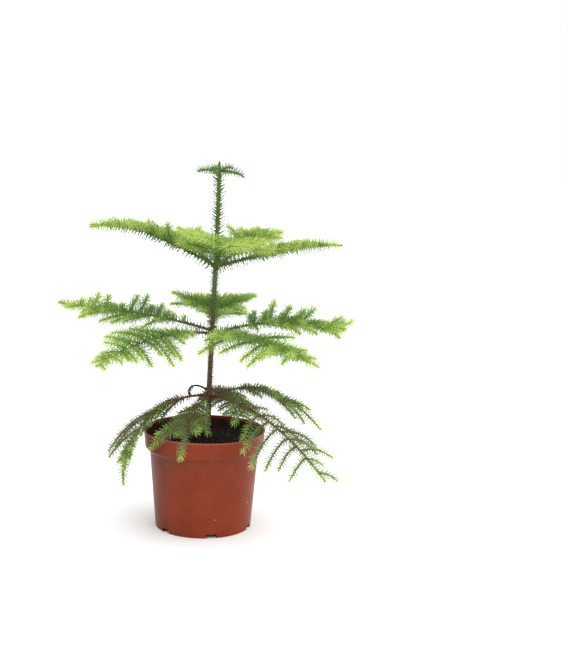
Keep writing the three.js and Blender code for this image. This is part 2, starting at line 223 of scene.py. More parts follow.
def band(rows: int, sides: int) -> Array:
    """The quads between neighbours on neighbouring rings, whose points are numbered ring by ring.

    Args:
        rows: How many rings there are.
        sides: Points in a ring.

    Returns:
        Corner numbers of shape (rows - 1, sides, 4).
    """
    here = np.arange(sides)
    after = np.roll(here, -1)
    start = np.arange(rows - 1)[:, None] * sides
    return np.stack([start + here, start + after, start + sides + after, start + sides + here], axis=-1)


def fans(rows: int, sides: int) -> tuple[Array, Array]:
    """The triangles that close a run of rings, round two poles that are numbered after the rings.

    Args:
        rows: How many rings there are.
        sides: Points in a ring.

    Returns:
        The corner numbers of the fan over the first ring and of the one over the last.
    """
    here = np.arange(sides)
    after = np.roll(here, -1)
    last = (rows - 1) * sides
    pole = np.full(sides, rows * sides)
    return np.stack([pole, after, here], axis=-1), np.stack([pole + 1, last + here, last + after], axis=-1)


def with_poles(rings: Array) -> Array:
    """The points of all rings, and after them the middles of the first and the last ring."""
    return np.vstack([rings.reshape(-1, 3), rings[[0, -1]].mean(axis=1)])


class Surface:
    """The points and faces of one piece, gathered part by part, in millimetres."""

    LEVEL = 0.5

    def __init__(self) -> None:
        """Starts with nothing."""
        self.points: list[Array] = []
        self.faces: list[Array] = []
        self.relief: list[Array] = []
        self.count = 0

    def add(self, points: Array, *faces: Array, relief: Array | None = None) -> None:
        """Adds points and the faces between them.

        Args:
            points: Places of shape (n, 3).
            *faces: Arrays of corner numbers, one row a face, counted from these points.
            relief: How far each point stands out, from 0 to 1, for the finish to read.
        """
        self.points.append(points)
        self.faces += [corners + self.count for corners in faces if len(corners)]
        self.relief.append(np.full(len(points), self.LEVEL) if relief is None else relief)
        self.count += len(points)

    def copies(self, points: Array, *faces: Array) -> None:
        """Adds many shapes with the same faces.

        Args:
            points: Places of shape (shapes, corners, 3).
            *faces: Arrays of corner numbers of one shape, one row a face.
        """
        count, corners, _ = points.shape
        offset = (corners * np.arange(count))[:, None, None]
        self.add(points.reshape(-1, 3), *((offset + part).reshape(-1, part.shape[1]) for part in faces))

    def tube(self, rings: Array, relief: Array | None = None) -> None:
        """Adds a closed tube: a quad between neighbours on neighbouring rings, and a fan over each end.

        Args:
            rings: Points of shape (rings, sides, 3), counter-clockwise seen from the last ring.
            relief: How far each ring point stands out, of shape (rings, sides).
        """
        rows, sides, _ = rings.shape
        level = None if relief is None else np.concatenate([relief.ravel(), [self.LEVEL] * 2])
        self.add(with_poles(rings), band(rows, sides).reshape(-1, 4), *fans(rows, sides), relief=level)

    def piece(
        self, name: str, material: bpy.types.Material, slot: str, *nodes: str, sharp: float = 60.0
    ) -> None:
        """Makes the gathered points and faces one object, which rides on the plant's only body.

        Args:
            name: The piece's name.
            material: Its finish.
            slot: The record's material slot; not used.
            *nodes: The solids that it stands for, if any.
            sharp: Edges that turn by more than this many degrees stay crisp.
        """
        points = np.concatenate(self.points) * MM
        corners = np.concatenate([faces.ravel() for faces in self.faces])
        sizes = np.concatenate([np.full(len(faces), faces.shape[1]) for faces in self.faces])
        mesh = bpy.data.meshes.new(name)
        mesh.vertices.add(len(points))
        mesh.vertices.foreach_set("co", points.ravel())
        mesh.loops.add(len(corners))
        mesh.loops.foreach_set("vertex_index", corners.astype(np.int32))
        mesh.polygons.add(len(sizes))
        starts = np.concatenate([[0], np.cumsum(sizes)[:-1]])
        mesh.polygons.foreach_set("loop_start", starts.astype(np.int32))
        mesh.update(calc_edges=True)
        mesh.validate()
        mesh.shade_smooth()
        mesh.set_sharp_from_angle(angle=math.radians(sharp))
        layer = mesh.attributes.new("relief", "FLOAT", "POINT")
        layer.data.foreach_set("value", np.concatenate(self.relief).astype(np.float32))
        mesh.materials.append(material)
        made = bpy.data.objects.new(name, mesh)
        bpy.context.scene.collection.objects.link(made)
        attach(made, BODY)
        if nodes:
            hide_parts(*nodes)
        log.info("%s: %d triangles", name, int((sizes - 2).sum()))


# Finishes


class Tint(Enum):
    """Plain base colours that needles, twigs and crumbs are dealt out in, as linear red, green and blue."""

    DRY = (0.165, 0.105, 0.050)
    OLD = (0.155, 0.152, 0.050)
    MOSS = (0.168, 0.240, 0.088)
    DEEP = (0.060, 0.118, 0.028)
    MID = (0.118, 0.225, 0.048)
    FRESH = (0.240, 0.390, 0.075)
    YOUNG = (0.480, 0.610, 0.155)
    WOODY = (0.140, 0.078, 0.042)
    OLIVE = (0.120, 0.120, 0.042)
    GREEN = (0.110, 0.185, 0.040)
    BUD = (0.125, 0.085, 0.040)
    PEAT = (0.014, 0.010, 0.007)
    CHIP = (0.060, 0.028, 0.016)
    GRIT = (0.120, 0.095, 0.070)


@dataclass(frozen=True)
class Patches:
    """Noise made crisp, for clouds, streaks, specks and stains: its floor below low, and 1 above high.

    The scale is one over the size of its features in metres. A stretch sets them closer on each axis.
    """

    scale: float
    detail: float
    low: float
    high: float
    floor: float = 0.0
    stretch: Trio = (1.0, 1.0, 1.0)


class Recipe:
    """A material's node tree while it is put together."""

    NOISE_ROUGHNESS = 0.55
    MIX_COLOURS = (6, 7)
    MIX_RESULT = 2

    def __init__(self, name: str) -> None:
        """Starts a material with an empty shader.

        Args:
            name: The material's name.
        """
        self.material = bpy.data.materials.new(name)
        self.material.use_nodes = True
        self.nodes = self.material.node_tree.nodes
        self.shader = self.nodes["Principled BSDF"]

    def feed(self, target: Socket, value: object) -> None:
        """Sets an input to a value or an opaque colour, or links it to a socket."""
        if isinstance(value, Socket):
            self.material.node_tree.links.new(value, target)
        else:
            target.default_value = (*value, 1.0) if target.type == "RGBA" else value

    def node(self, kind: str, **sockets: object) -> bpy.types.Node:
        """Adds a node and sets its inputs.

        Args:
            kind: The node type without its common first word.
            **sockets: Values or sockets for its inputs, by name with _ for a space.

        Returns:
            The node.
        """
        made = self.nodes.new("ShaderNode" + kind)
        for name, value in sockets.items():
            self.feed(made.inputs[name.replace("_", " ")], value)
        return made

    def pair(self, kind: str, operation: str, first: object, second: object) -> Socket:
        """One simple operation on two numbers, or on two colours.

        Args:
            kind: The node type.
            operation: What it does.
            first: A value or socket.
            second: A value or socket.

        Returns:
            The result's socket.
        """
        made = self.node(kind)
        made.operation = operation
        self.feed(made.inputs[0], first)
        self.feed(made.inputs[1], second)
        return made.outputs[0]

    def plus(self, first: object, second: object) -> Socket:
        """The sum of two numbers."""
        return self.pair("Math", "ADD", first, second)

    def times(self, first: object, second: object) -> Socket:
        """The product of two numbers."""
        return self.pair("Math", "MULTIPLY", first, second)

    def shaded(self, first: Socket, second: Socket) -> Socket:
        """The product of two colours."""
        return self.pair("VectorMath", "MULTIPLY", first, second)

    def place(self, scale: Trio = (1.0, 1.0, 1.0)) -> Socket:
        """The place on the piece in metres, stretched by a scale on each axis."""
        spot = self.node("TexCoord").outputs["Object"]
        return self.node("Mapping", Vector=spot, Scale=scale).outputs["Vector"]

    def coordinate(self, axis: str) -> Socket:
        """The place on the piece along one axis, in metres."""
        return self.node("SeparateXYZ", Vector=self.place()).outputs[axis]

    def relief(self) -> Socket:
        """How far the surface stands out, as its mesh has it.

        Returns:
            The socket of that number, from 0 to 1.
        """
        made = self.node("Attribute")
        made.attribute_name = "relief"
        return made.outputs["Fac"]

    def noise(self, scale: float, detail: float = 3.0, stretch: Trio = (1.0, 1.0, 1.0)) -> Socket:
        """A noise from about 0 to 1, with features of about 1/scale metres."""
        look = {"Scale": scale, "Detail": detail, "Roughness": self.NOISE_ROUGHNESS}
        return self.node("TexNoise", Vector=self.place(stretch), **look).outputs["Fac"]

    def ramp(self, value: Socket, *stops: tuple[float, float | Trio]) -> Socket:
        """A colour read where the value falls, from stops of place and colour, or of place and grey.

        Args:
            value: Where to read.
            *stops: Places with a colour or a grey.

        Returns:
            The colour's socket.
        """
        made = self.node("ValToRGB", Fac=value)
        slots = made.color_ramp.elements
        while len(slots) < len(stops):
            slots.new(0.5)
        for slot, (place, tone) in zip(slots, stops):
            slot.position = place
            slot.color = (*tone, 1.0) if isinstance(tone, tuple) else (tone, tone, tone, 1.0)
        return made.outputs["Color"]

    def patches(self, look: Patches) -> Socket:
        """A crisp noise."""
        noise = self.noise(look.scale, look.detail, look.stretch)
        return self.ramp(noise, (look.low, look.floor), (look.high, 1.0))

    def mix(self, share: object, first: object, second: object) -> Socket:
        """Two colours mixed by a share of the second.

        Args:
            share: The share.
            first: A colour or socket.
            second: A colour or socket.

        Returns:
            The mixed colour's socket.
        """
        made = self.node("Mix")
        made.data_type = "RGBA"
        for place, value in zip(("Factor", *self.MIX_COLOURS), (share, first, second)):
            self.feed(made.inputs[place], value)
        return made.outputs[self.MIX_RESULT]

    def span(self, value: Socket, low: float, high: float) -> Socket:
        """0 at low, 1 at high, and even between them, for places in millimetres."""
        return self.node("MapRange", Value=value, From_Min=low * MM, From_Max=high * MM).outputs["Result"]

    def bump(self, height: Socket, strength: float, depth: float) -> None:
        """Roughens the surface by a height, up to a depth in millimetres."""
        made = self.node("Bump", Height=height, Strength=strength, Distance=depth * MM)
        self.feed(self.shader.inputs["Normal"], made.outputs["Normal"])

    def finish(self, colour: object, roughness: object, gloss: float) -> bpy.types.Material:
        """Sets the shader's colour, roughness and gloss and gives the material."""
        for name, value in (("Base Color", colour), ("Roughness", roughness), ("Specular IOR Level", gloss)):
            self.feed(self.shader.inputs[name], value)
        return self.material


@dataclass(frozen=True)
class PlainFinish:
    """One plain colour with a soft gloss, for pieces of thousands of small things."""

    tint: Tint
    roughness: float
    gloss: float

    @functools.lru_cache(maxsize=None)
    def material(self) -> bpy.types.Material:
        """The material, made once for each finish."""
        recipe = Recipe(f"{self.tint.name.lower()}_{round(100 * self.roughness)}")
        return recipe.finish(self.tint.value, self.roughness, self.gloss)


@dataclass(frozen=True)
class BarkFinish:
    """Bark in three colours up the plant, with painted shade in its creases, and specks of old leaf bases.

    The turns are the heights of the three colours, which wander up and down. Crease shade and speck
    are places in the relief and in a fine noise, and how bright the bark is there.
    """

    name: str
    low: Trio
    middle: Trio
    high: Trio
    turns: Trio = (100.0, 215.0, 262.0)
    wander: float = 30.0
    wander_scale: float = 120.0
    # Painted shade in the creases and painted light on the ridges
    crease_shade: tuple[Pair, Pair] = ((0.15, 0.4), (0.75, 1.2))
    speck: tuple[Pair, Pair] = ((0.35, 0.55), (0.65, 1.15))
    speck_scale: float = 900.0
    bump_scale: float = 1600.0

    def material(self) -> bpy.types.Material:
        """The material: a ramp over height, times painted shade by the relief, times a fine noise.

        Returns:
            The material.
        """
        recipe = Recipe(self.name)
        first, turn, last = self.turns
        wander = recipe.times(recipe.noise(self.wander_scale), self.wander * MM)
        place = recipe.span(recipe.plus(recipe.coordinate("Z"), wander), first, last + self.wander / 2.0)
        share = (turn - first) / (last - first)
        skin = recipe.ramp(place, (0.0, self.low), (share, self.middle), (1.0, self.high))
        # Painted shade: darker where the relief is low, in the creases, and lighter on the ridges
        crease_shade = recipe.ramp(recipe.relief(), *self.crease_shade)
        speck = recipe.ramp(recipe.noise(self.speck_scale, 4.0), *self.speck)
        recipe.bump(recipe.noise(self.bump_scale, 5.0), strength=0.5, depth=0.25)
        coat = recipe.shaded(skin, recipe.shaded(crease_shade, speck))
        return recipe.finish(coat, roughness=0.72, gloss=0.25)


@dataclass(frozen=True)
class PotPlastic:
    """Moulded terracotta-coloured plastic: cloudy, faintly streaked, soiled under the collar, with flecks. It
    has painted shade under the collar's foot, on its left side and, with soil, on its inner wall, and a
    painted highlight on its lip.

    Each coat over the two reds has a colour, the places where it begins and is full, and its most share.
    """

    deep: Trio = (0.170, 0.021, 0.005)
    warm: Trio = (0.250, 0.038, 0.010)
    cloud: Patches = Patches(38.0, 4.0, 0.35, 0.68)
    streak: Patches = Patches(1.0, 3.0, 0.4, 0.7, stretch=(260.0, 260.0, 14.0))
    speckle: Patches = Patches(800.0, 2.0, 0.35, 0.65)
    warm_shares: Trio = (0.45, 0.15, 0.4)
    # Soil stains under the collar and the painted shade line under its foot share this colour
    stain_and_shade: Trio = (0.130, 0.038, 0.024)
    stain: Patches = Patches(70.0, 6.0, 0.45, 0.62)
    stain_heights: Pair = (61.0, 84.0)
    stain_share: float = 0.55
    collar_foot: float = 87.0
    # Painted shade: a dark line just under the collar's foot, where the collar steps out
    collar_shade_heights: Pair = (83.0, 89.0)
    collar_shade_share: float = 0.6
    # Painted shade that darkens the pot's left side
    side_shade: Trio = (0.060, 0.010, 0.004)
    side_shade_places: Pair = (-12.0, -44.0)
    side_shade_wander: float = 10.0
    side_shade_share: float = 0.42
    # Painted highlight: a pale line along the top of the lip
    lip_highlight: Trio = (0.420, 0.110, 0.065)
    lip_heights: Pair = (103.4, 104.8)
    lip_highlight_share: float = 0.7
    fleck: Trio = (0.560, 0.330, 0.260)
    fleck_scale: float = 80.0
    fleck_sizes: Pair = (0.045, 0.075)
    fleck_rarity: float = 0.55
    # Soil and painted shade that darken the inner wall
    caked_soil_and_shade: Trio = (0.022, 0.012, 0.008)
    clinging_soil_and_shade: Patches = Patches(90.0, 5.0, 0.30, 0.60, floor=0.72)
    gloss: Pair = (0.33, 0.50)

    def material(self) -> bpy.types.Material:
        """The material: clouds, streaks and specks of two reds, with soil, painted shade, a painted
        highlight and flecks on them.

        Returns:
            The material.
        """
        recipe = Recipe("pot_plastic")
        cloud = recipe.patches(self.cloud)
        parts = (cloud, recipe.patches(self.streak), recipe.patches(self.speckle))
        shares = (recipe.times(part, weight) for part, weight in zip(parts, self.warm_shares))
        colour = recipe.mix(functools.reduce(recipe.plus, shares), self.deep, self.warm)
        # Painted shade in a line under the collar's foot
        collar_shade = recipe.span(recipe.coordinate("Z"), *self.collar_shade_heights)
        # Painted highlight along the top of the lip
        lip = recipe.span(recipe.coordinate("Z"), *self.lip_heights)
        coats = (
            (self.under_collar(recipe), self.stain_and_shade),
            # Painted shade on the pot's left side
            (self.painted_side_shade(recipe, cloud), self.side_shade),
            # Painted shade under the collar's foot
            (recipe.ramp(collar_shade, (0.15, 0.0), (0.5, self.collar_shade_share), (0.85, 0.0)), self.stain_and_shade),
            # Painted highlight on the lip
            (recipe.times(lip, self.lip_highlight_share), self.lip_highlight),
            (self.flecks(recipe), self.fleck),
            # The inner wall, darkened by soil and by painted shade
            (recipe.times(recipe.relief(), recipe.patches(self.clinging_soil_and_shade)), self.caked_soil_and_shade),
        )
        for share, coat in coats:
            colour = recipe.mix(share, colour, coat)
        low, high = self.gloss
        gloss = recipe.node("MapRange", Value=recipe.noise(55.0, 5.0), To_Min=low, To_Max=high)
        recipe.bump(recipe.noise(1400.0, 3.0), strength=0.18, depth=0.12)
        return recipe.finish(colour, gloss.outputs["Result"], gloss=0.18)

    def under_collar(self, recipe: Recipe) -> Socket:
        """The share of soil, in stains that grow denser up to the collar's foot and end there.

        Args:
            recipe: The pot's node tree.

        Returns:
            The share's socket.
        """
        up = recipe.coordinate("Z")
        below = recipe.pair("Math", "LESS_THAN", up, self.collar_foot * MM)
        under = recipe.times(recipe.span(up, *self.stain_heights), below)
        return recipe.times(recipe.times(under, recipe.patches(self.stain)), self.stain_share)

    def painted_side_shade(self, recipe: Recipe, cloud: Socket) -> Socket:
        """The share of painted shade on the pot's left, with an edge that wanders with the clouds."""
        edge = recipe.plus(recipe.coordinate("X"), recipe.times(cloud, self.side_shade_wander * MM))
        return recipe.times(recipe.span(edge, *self.side_shade_places), self.side_shade_share)

    def flecks(self, recipe: Recipe) -> Socket:
        """Where pale flecks are: a spot in the middle of some cells of a cell pattern.

        Args:
            recipe: The pot's node tree.

        Returns:
            The socket of the flecks' share.
        """
        cells = recipe.node("TexVoronoi", Vector=recipe.place(), Scale=self.fleck_scale)
        inner, outer = self.fleck_sizes
        spot = recipe.ramp(cells.outputs["Distance"], (inner, 1.0), (outer, 0.0))
        pick = recipe.node("SeparateColor", Color=cells.outputs["Color"]).outputs[0]
        return recipe.times(spot, recipe.pair("Math", "GREATER_THAN", pick, self.fleck_rarity))


@dataclass(frozen=True)
class PottingSoil:
    """Moist peat: nearly black, with browner fibres."""

    dark: Trio = (0.010, 0.007, 0.005)
    fibre: Trio = (0.050, 0.028, 0.017)
    fibres: Patches = Patches(520.0, 6.0, 0.5, 0.72)

    def material(self) -> bpy.types.Material:
        """The material: fine noise between the two browns, and a rough bump.

        Returns:
            The material.
        """
        recipe = Recipe("potting_soil")
        colour = recipe.mix(recipe.patches(self.fibres), self.dark, self.fibre)
        recipe.bump(recipe.noise(900.0, 6.0), strength=0.9, depth=0.8)
        return recipe.finish(colour, roughness=0.92, gloss=0.2)


# The plant's rule of growth


@dataclass(frozen=True)
class Limb:
    """One limb: its direction, length and pitch at each end, and its twigs.

    Attributes:
        bend: The power by which its pitch turns; a low one turns early.
        bare: The share of it, from the stem on, that carries no twigs.
        twig: The length of its longest twig.
        angle: How far off it its innermost twigs stand, in degrees.
        narrowing: How much closer to it than that its outermost twigs stand.
        lift: How far its twigs rise, in degrees.
        tilt: How much further than that they rise on its left, seen from the stem, and less on its right.
        favour: The share by which they outgrow that on its left, and fall short of it on its right.
        droop: How far its twigs hang in the end, 0 for straight.
        bare_tip: The share of its needled part that lies beyond its last twigs.
        elbow: How far past halfway to the bough on its right its room reaches, in degrees.
        fade: How much duller its needles are than its whorl's, as a share of the step between two tints.
    """

    azimuth: float
    length: float
    root_pitch: float
    tip_pitch: float
    bend: float
    bare: float = 0.0
    pairs: int = 0
    twig: float = 0.0
    angle: float = 0.0
    narrowing: float = 8.0
    lift: float = 0.0
    tilt: float = 0.0
    favour: float = 0.0
    droop: float = 0.0
    bare_tip: float = 0.0
    elbow: float = 0.0
    fade: float = 0.0


@dataclass(frozen=True)
class TwigHabit:
    """How unevenly the twigs of one whorl stand.

    The spreads say how much neighbours differ in rise, in degrees, and in growth, as a share of the length.
    The innermost twigs have a share of the length too, and so have the finer twigs between the pairs.
    """

    lift_spread: float
    length_spread: float
    innermost: float
    between: float


@dataclass(frozen=True)
class Twig:
    """One twig: its line, how far along its bough it stands as a share, and its seed."""

    line: Line
    way: float
    seed: float


@dataclass(frozen=True)
class TwigRule:
    """What all twigs share: their sizes, how they shorten and hang along a bough, and their needles' room."""

    step: float = 2.0
    root_radius: float = 1.0
    tip_radius: float = 0.55
    sides: int = 6
    ring_step: float = 3.0
    shortest: float = 9.0
    tip_share: float = 0.3
    shortening: float = 1.8
    hang: float = 1.0
    full_from: float = 0.5
    tip_droop: float = 0.4
    pair_offset: float = 0.3
    needle_from: float = 1.5
    needle_foot: float = 0.45
    needle_ahead: float = 4.0
    needle_reach: float = 8.5 * math.sin(math.radians(50.0)) + 1.0
    between_seed: float = 0.125
    lift_seed: float = 0.25
    length_seed: float = 0.5
    vigour_seed: float = 0.75
    needle_seed: float = 0.6

    def line(self, root: Array, heading: Array, length: float, droop: float) -> Line:
        """The line of a twig: it leaves its limb straight and hangs more the further it gets.

        Args:
            root: Where it leaves the middle of its limb.
            heading: The direction in which it leaves.
            length: Its length.
            droop: How far it hangs in the end, 0 for straight.

        Returns:
            The line.
        """
        steps = math.floor(length / self.step + 0.5)
        hang = droop * ((np.arange(steps) + 0.5) / steps) ** self.hang
        walk = np.cumsum(unit(heading - UP * hang[:, None]) * self.step, axis=0)
        azimuth = math.degrees(math.atan2(heading[1], heading[0]))
        return Line(root + np.vstack([np.zeros(3), walk]), azimuth)


@dataclass(frozen=True)
class NeedleHabit:
    """How needles stand on one kind of shoot.

    Attributes:
        length: A full needle's length.
        pitch: The step along the shoot from one needle to the next round the spiral.
        foot_angle: The angle off the shoot at a needle's foot.
        tip_angle: The angle off the shoot at its tip, less where it curves inwards.
        upsweep: How far needles turn to the shoot's upper side, 0 for evenly all round.
        bunch: The stretch at the shoot's tip where needles close up.

    The spreads say how much needles differ in length, angles and turn round the shoot. At the shoot's tip
    they are shorter, and both their angles are closed, by the last three shares.
    """

    length: float = 8.2
    pitch: float = 0.34
    foot_angle: float = 82.0
    tip_angle: float = 46.0
    upsweep: float = 0.12
    bunch: float = 5.0
    length_spread: float = 0.22
    angle_spread: float = 16.0
    turn_spread: float = 0.5
    tip_shorter: float = 0.35
    tip_foot_closed: float = 0.55
    tip_closed: float = 0.8


@dataclass
class Spray:
    """The needles of one shoot, one row of each array a needle."""

    SEED_STEP = 0.37
    SEED_SHIFTS = (0.11, 0.43, 0.71)
    FIRST_TURN = 6.0

    foot: Array
    along: Array
    outward: Array
    length: Array
    foot_angle: Array
    tip_angle: Array
    from_tip: Array

    @classmethod
    def on(
        cls, line: Line, radius: float, habit: NeedleHabit, start: float, end: float, seed: float
    ) -> Spray:
        """Needles in a spiral of golden turns along a shoot.

        Args:
            line: The shoot's line.
            radius: How far from the line needles have their feet.
            habit: How they stand.
            start: Where along the line they begin.
            end: Where they end.
            seed: Chooses their small differences.

        Returns:
            The spray.
        """
        count = max(2, int((end - start) / habit.pitch))
        number = np.arange(count)
        distance = start + (number + 0.5) * (end - start) / count
        seeds = [seed + cls.SEED_STEP * number + shift for shift in cls.SEED_SHIFTS]
        stray, lean, growth = (seeded(own) - 0.5 for own in seeds)
        turn = GOLDEN_TURN * number + cls.FIRST_TURN * seeded(seed) + habit.turn_spread * stray
        along, aside, above = line.frame(distance)
        outward = np.cos(turn)[:, None] * aside + np.sin(turn)[:, None] * above
        raised = UP - along * (along @ UP)[:, None]
        outward = unit(outward + habit.upsweep * raised)
        from_tip = end - distance
        closed = np.exp(-from_tip / habit.bunch)
        lean = habit.angle_spread * lean
        length = habit.length * (1.0 + habit.length_spread * growth)
        return cls(
            foot=line.at(distance) + outward * radius,
            along=along,
            outward=outward,
            length=length * (1.0 - habit.tip_shorter * closed),
            foot_angle=np.radians((habit.foot_angle + lean) * (1.0 - habit.tip_foot_closed * closed)),
            tip_angle=np.radians((habit.tip_angle + lean) * (1.0 - habit.tip_closed * closed)),
            from_tip=from_tip,
        )

    def only(self, chosen: Array) -> Spray:
        """The needles that are chosen."""
        return Spray(*(values[chosen] for values in vars(self).values()))


@dataclass(frozen=True)
class NeedleShape:
    """A needle's outline: a keeled awl, four-sided, with a broad foot that runs along the shoot.

    Its three sections stand at shares of its length. They have half heights in the plane of the shoot and
    the needle, and half widths across that plane, in a needle of full length.
    """

    shares: Trio = (0.0, 0.22, 0.70)
    half_heights: Trio = (1.0, 0.38, 0.28)
    half_widths: Trio = (0.32, 0.29, 0.23)
    full_length: float = 9.2

    def points(self, spray: Spray) -> Array:
        """Every needle's points. Its middle line turns evenly from the foot's angle to the tip's.

        With angle a(s) = a0 + d s, the middle line is foot + L (along (sin a - sin a0) + outward
        (cos a0 - cos a)) / d. Each section is a diamond across it, but the first lies along the shoot.

        Args:
            spray: The needles.

        Returns:
            Points of shape (needles, 13, 3).
        """
        share = np.array((*self.shares, 1.0))
        turn = (spray.tip_angle - spray.foot_angle)[:, None]
        angle = spray.foot_angle[:, None] + turn * share
        ahead = (np.sin(angle) - np.sin(angle[:, :1])) / turn
        out = (np.cos(angle[:, :1]) - np.cos(angle)) / turn
        along = spray.along[:, None]
        outward = spray.outward[:, None]
        length = spray.length[:, None, None]
        middle = spray.foot[:, None] + length * (along * ahead[..., None] + outward * out[..., None])
        keel = along * np.sin(angle)[..., None] - outward * np.cos(angle)[..., None]
        keel[:, 0] = spray.along
        stout = np.sqrt(length / self.full_length)
        high = keel[:, :-1] * np.array(self.half_heights)[:, None] * stout
        wide = np.cross(outward, along) * np.array(self.half_widths)[:, None] * stout
        rings = middle[:, :-1, None] + np.stack([high, wide, -high, -wide], axis=2)
        return np.concatenate([rings.reshape(len(rings), -1, 3), middle[:, -1:]], axis=1)

    def faces(self) -> tuple[Array, Array]:
        """One needle's faces.

        Returns:
            Its quads, with the one that closes its foot first, and the triangles of its point.
        """
        sections = len(self.shares)
        here = np.arange(4)
        quads = np.vstack([[here[::-1]], band(sections, 4).reshape(-1, 4)])
        last = 4 * (sections - 1)
        tip = np.full(4, 4 * sections)
        return quads, np.stack([last + here, last + np.roll(here, -1), tip], axis=-1)


class NeedleBed:
    """The needles of a group of shoots, sorted by tint until they are joined into pieces."""

    EDGE = 1.3
    SEED_STEP = 0.29
    ROUGHNESS = 0.5
    GLOSS = 0.1

    def __init__(self, name: str, tints: tuple[Tint, ...]) -> None:
        """Starts a bed.

        Args:
            name: What the pieces are named after.
            tints: From the least to the most vigorous.
        """
        self.name = name
        self.sprays: dict[Tint, list[Spray]] = {tint: [] for tint in tints}

    def add(self, spray: Spray, vigour: Array | float, seed: float) -> None:
        """Deals a spray's needles out among the tints, with a soft edge between two tints.

        Args:
            spray: The needles.
            vigour: A number for each or for all, 0 for the first tint, 1 for the next and so on.
            seed: Chooses which needles fall to either side of an edge.
        """
        chance = seeded(seed + self.SEED_STEP * np.arange(len(spray.length))) - 0.5
        level = np.clip(np.round(vigour + self.EDGE * chance), 0, len(self.sprays) - 1)
        for number, sprays in enumerate(self.sprays.values()):
            chosen = level == number
            if chosen.any():
                sprays.append(spray.only(chosen))

    def pieces(self, slot: str, *nodes: str) -> None:
        """Makes one piece of each tint's needles.

        Args:
            slot: The record's material slot.
            *nodes: The solids that they stand for, if any.
        """
        shape = NeedleShape()
        for tint, sprays in self.sprays.items():
            if not sprays:
                continue
            surface = Surface()
            surface.copies(np.concatenate([shape.points(spray) for spray in sprays]), *shape.faces())
            finish = PlainFinish(tint, self.ROUGHNESS, self.GLOSS)
            surface.piece(f"{self.name}_needles_{tint.name.lower()}", finish.material(), slot, *nodes)


# Sub-assemblies


def softened(corners: Array, cuts: Array, count: int) -> Array:
    """A run of straight sides with its corners rounded by parabolas.

    Args:
        corners: Points of shape (n, 2).
        cuts: How far from each corner its curve begins, 0 for a crisp corner.
        count: Points in each curve.

    Returns:
        The rounded run's points.
    """
    before = unit(np.vstack([corners[:1] - corners[1:2], corners[:-1] - corners[1:]]))
    ahead = unit(np.vstack([corners[1:] - corners[:-1], corners[-1:] - corners[-2:-1]]))
    way = np.linspace(0.0, 1.0, count)[:, None]
    run = []
    for corner, back, on, cut in zip(corners, before, ahead, cuts):
        start, end = corner + back * cut, corner + on * cut
        curve = start * (1.0 - way) ** 2 + 2.0 * corner * way * (1.0 - way) + end * way**2
        run.append(curve if cut > 0.0 else corner[None, :])
    return np.vstack(run)


def finer(run: Array, longest: float) -> Array:
    """The same run with points added wherever two are further apart than the longest step.

    Args:
        run: Points of shape (n, 2).
        longest: The longest step.

    Returns:
        The finer run.
    """
    steps = np.linalg.norm(np.diff(run, axis=0), axis=1)
    pieces = np.maximum(1, np.ceil(steps / longest)).astype(int)
    ways = np.concatenate([i + np.arange(n) / n for i, n in enumerate(pieces)] + [[len(run) - 1.0]])
    return np.stack([np.interp(ways, np.arange(len(run)), column) for column in run.T], axis=-1)


def spun(section: Array, angles: Array) -> Array:
    """A section of radius and height turned about the pot's axis: (r cos, r sin, height) at each angle."""
    round_axis = np.stack([np.cos(angles), np.sin(angles), np.ones_like(angles)], axis=-1)
    return section[:, None, [0, 0, 1]] * round_axis


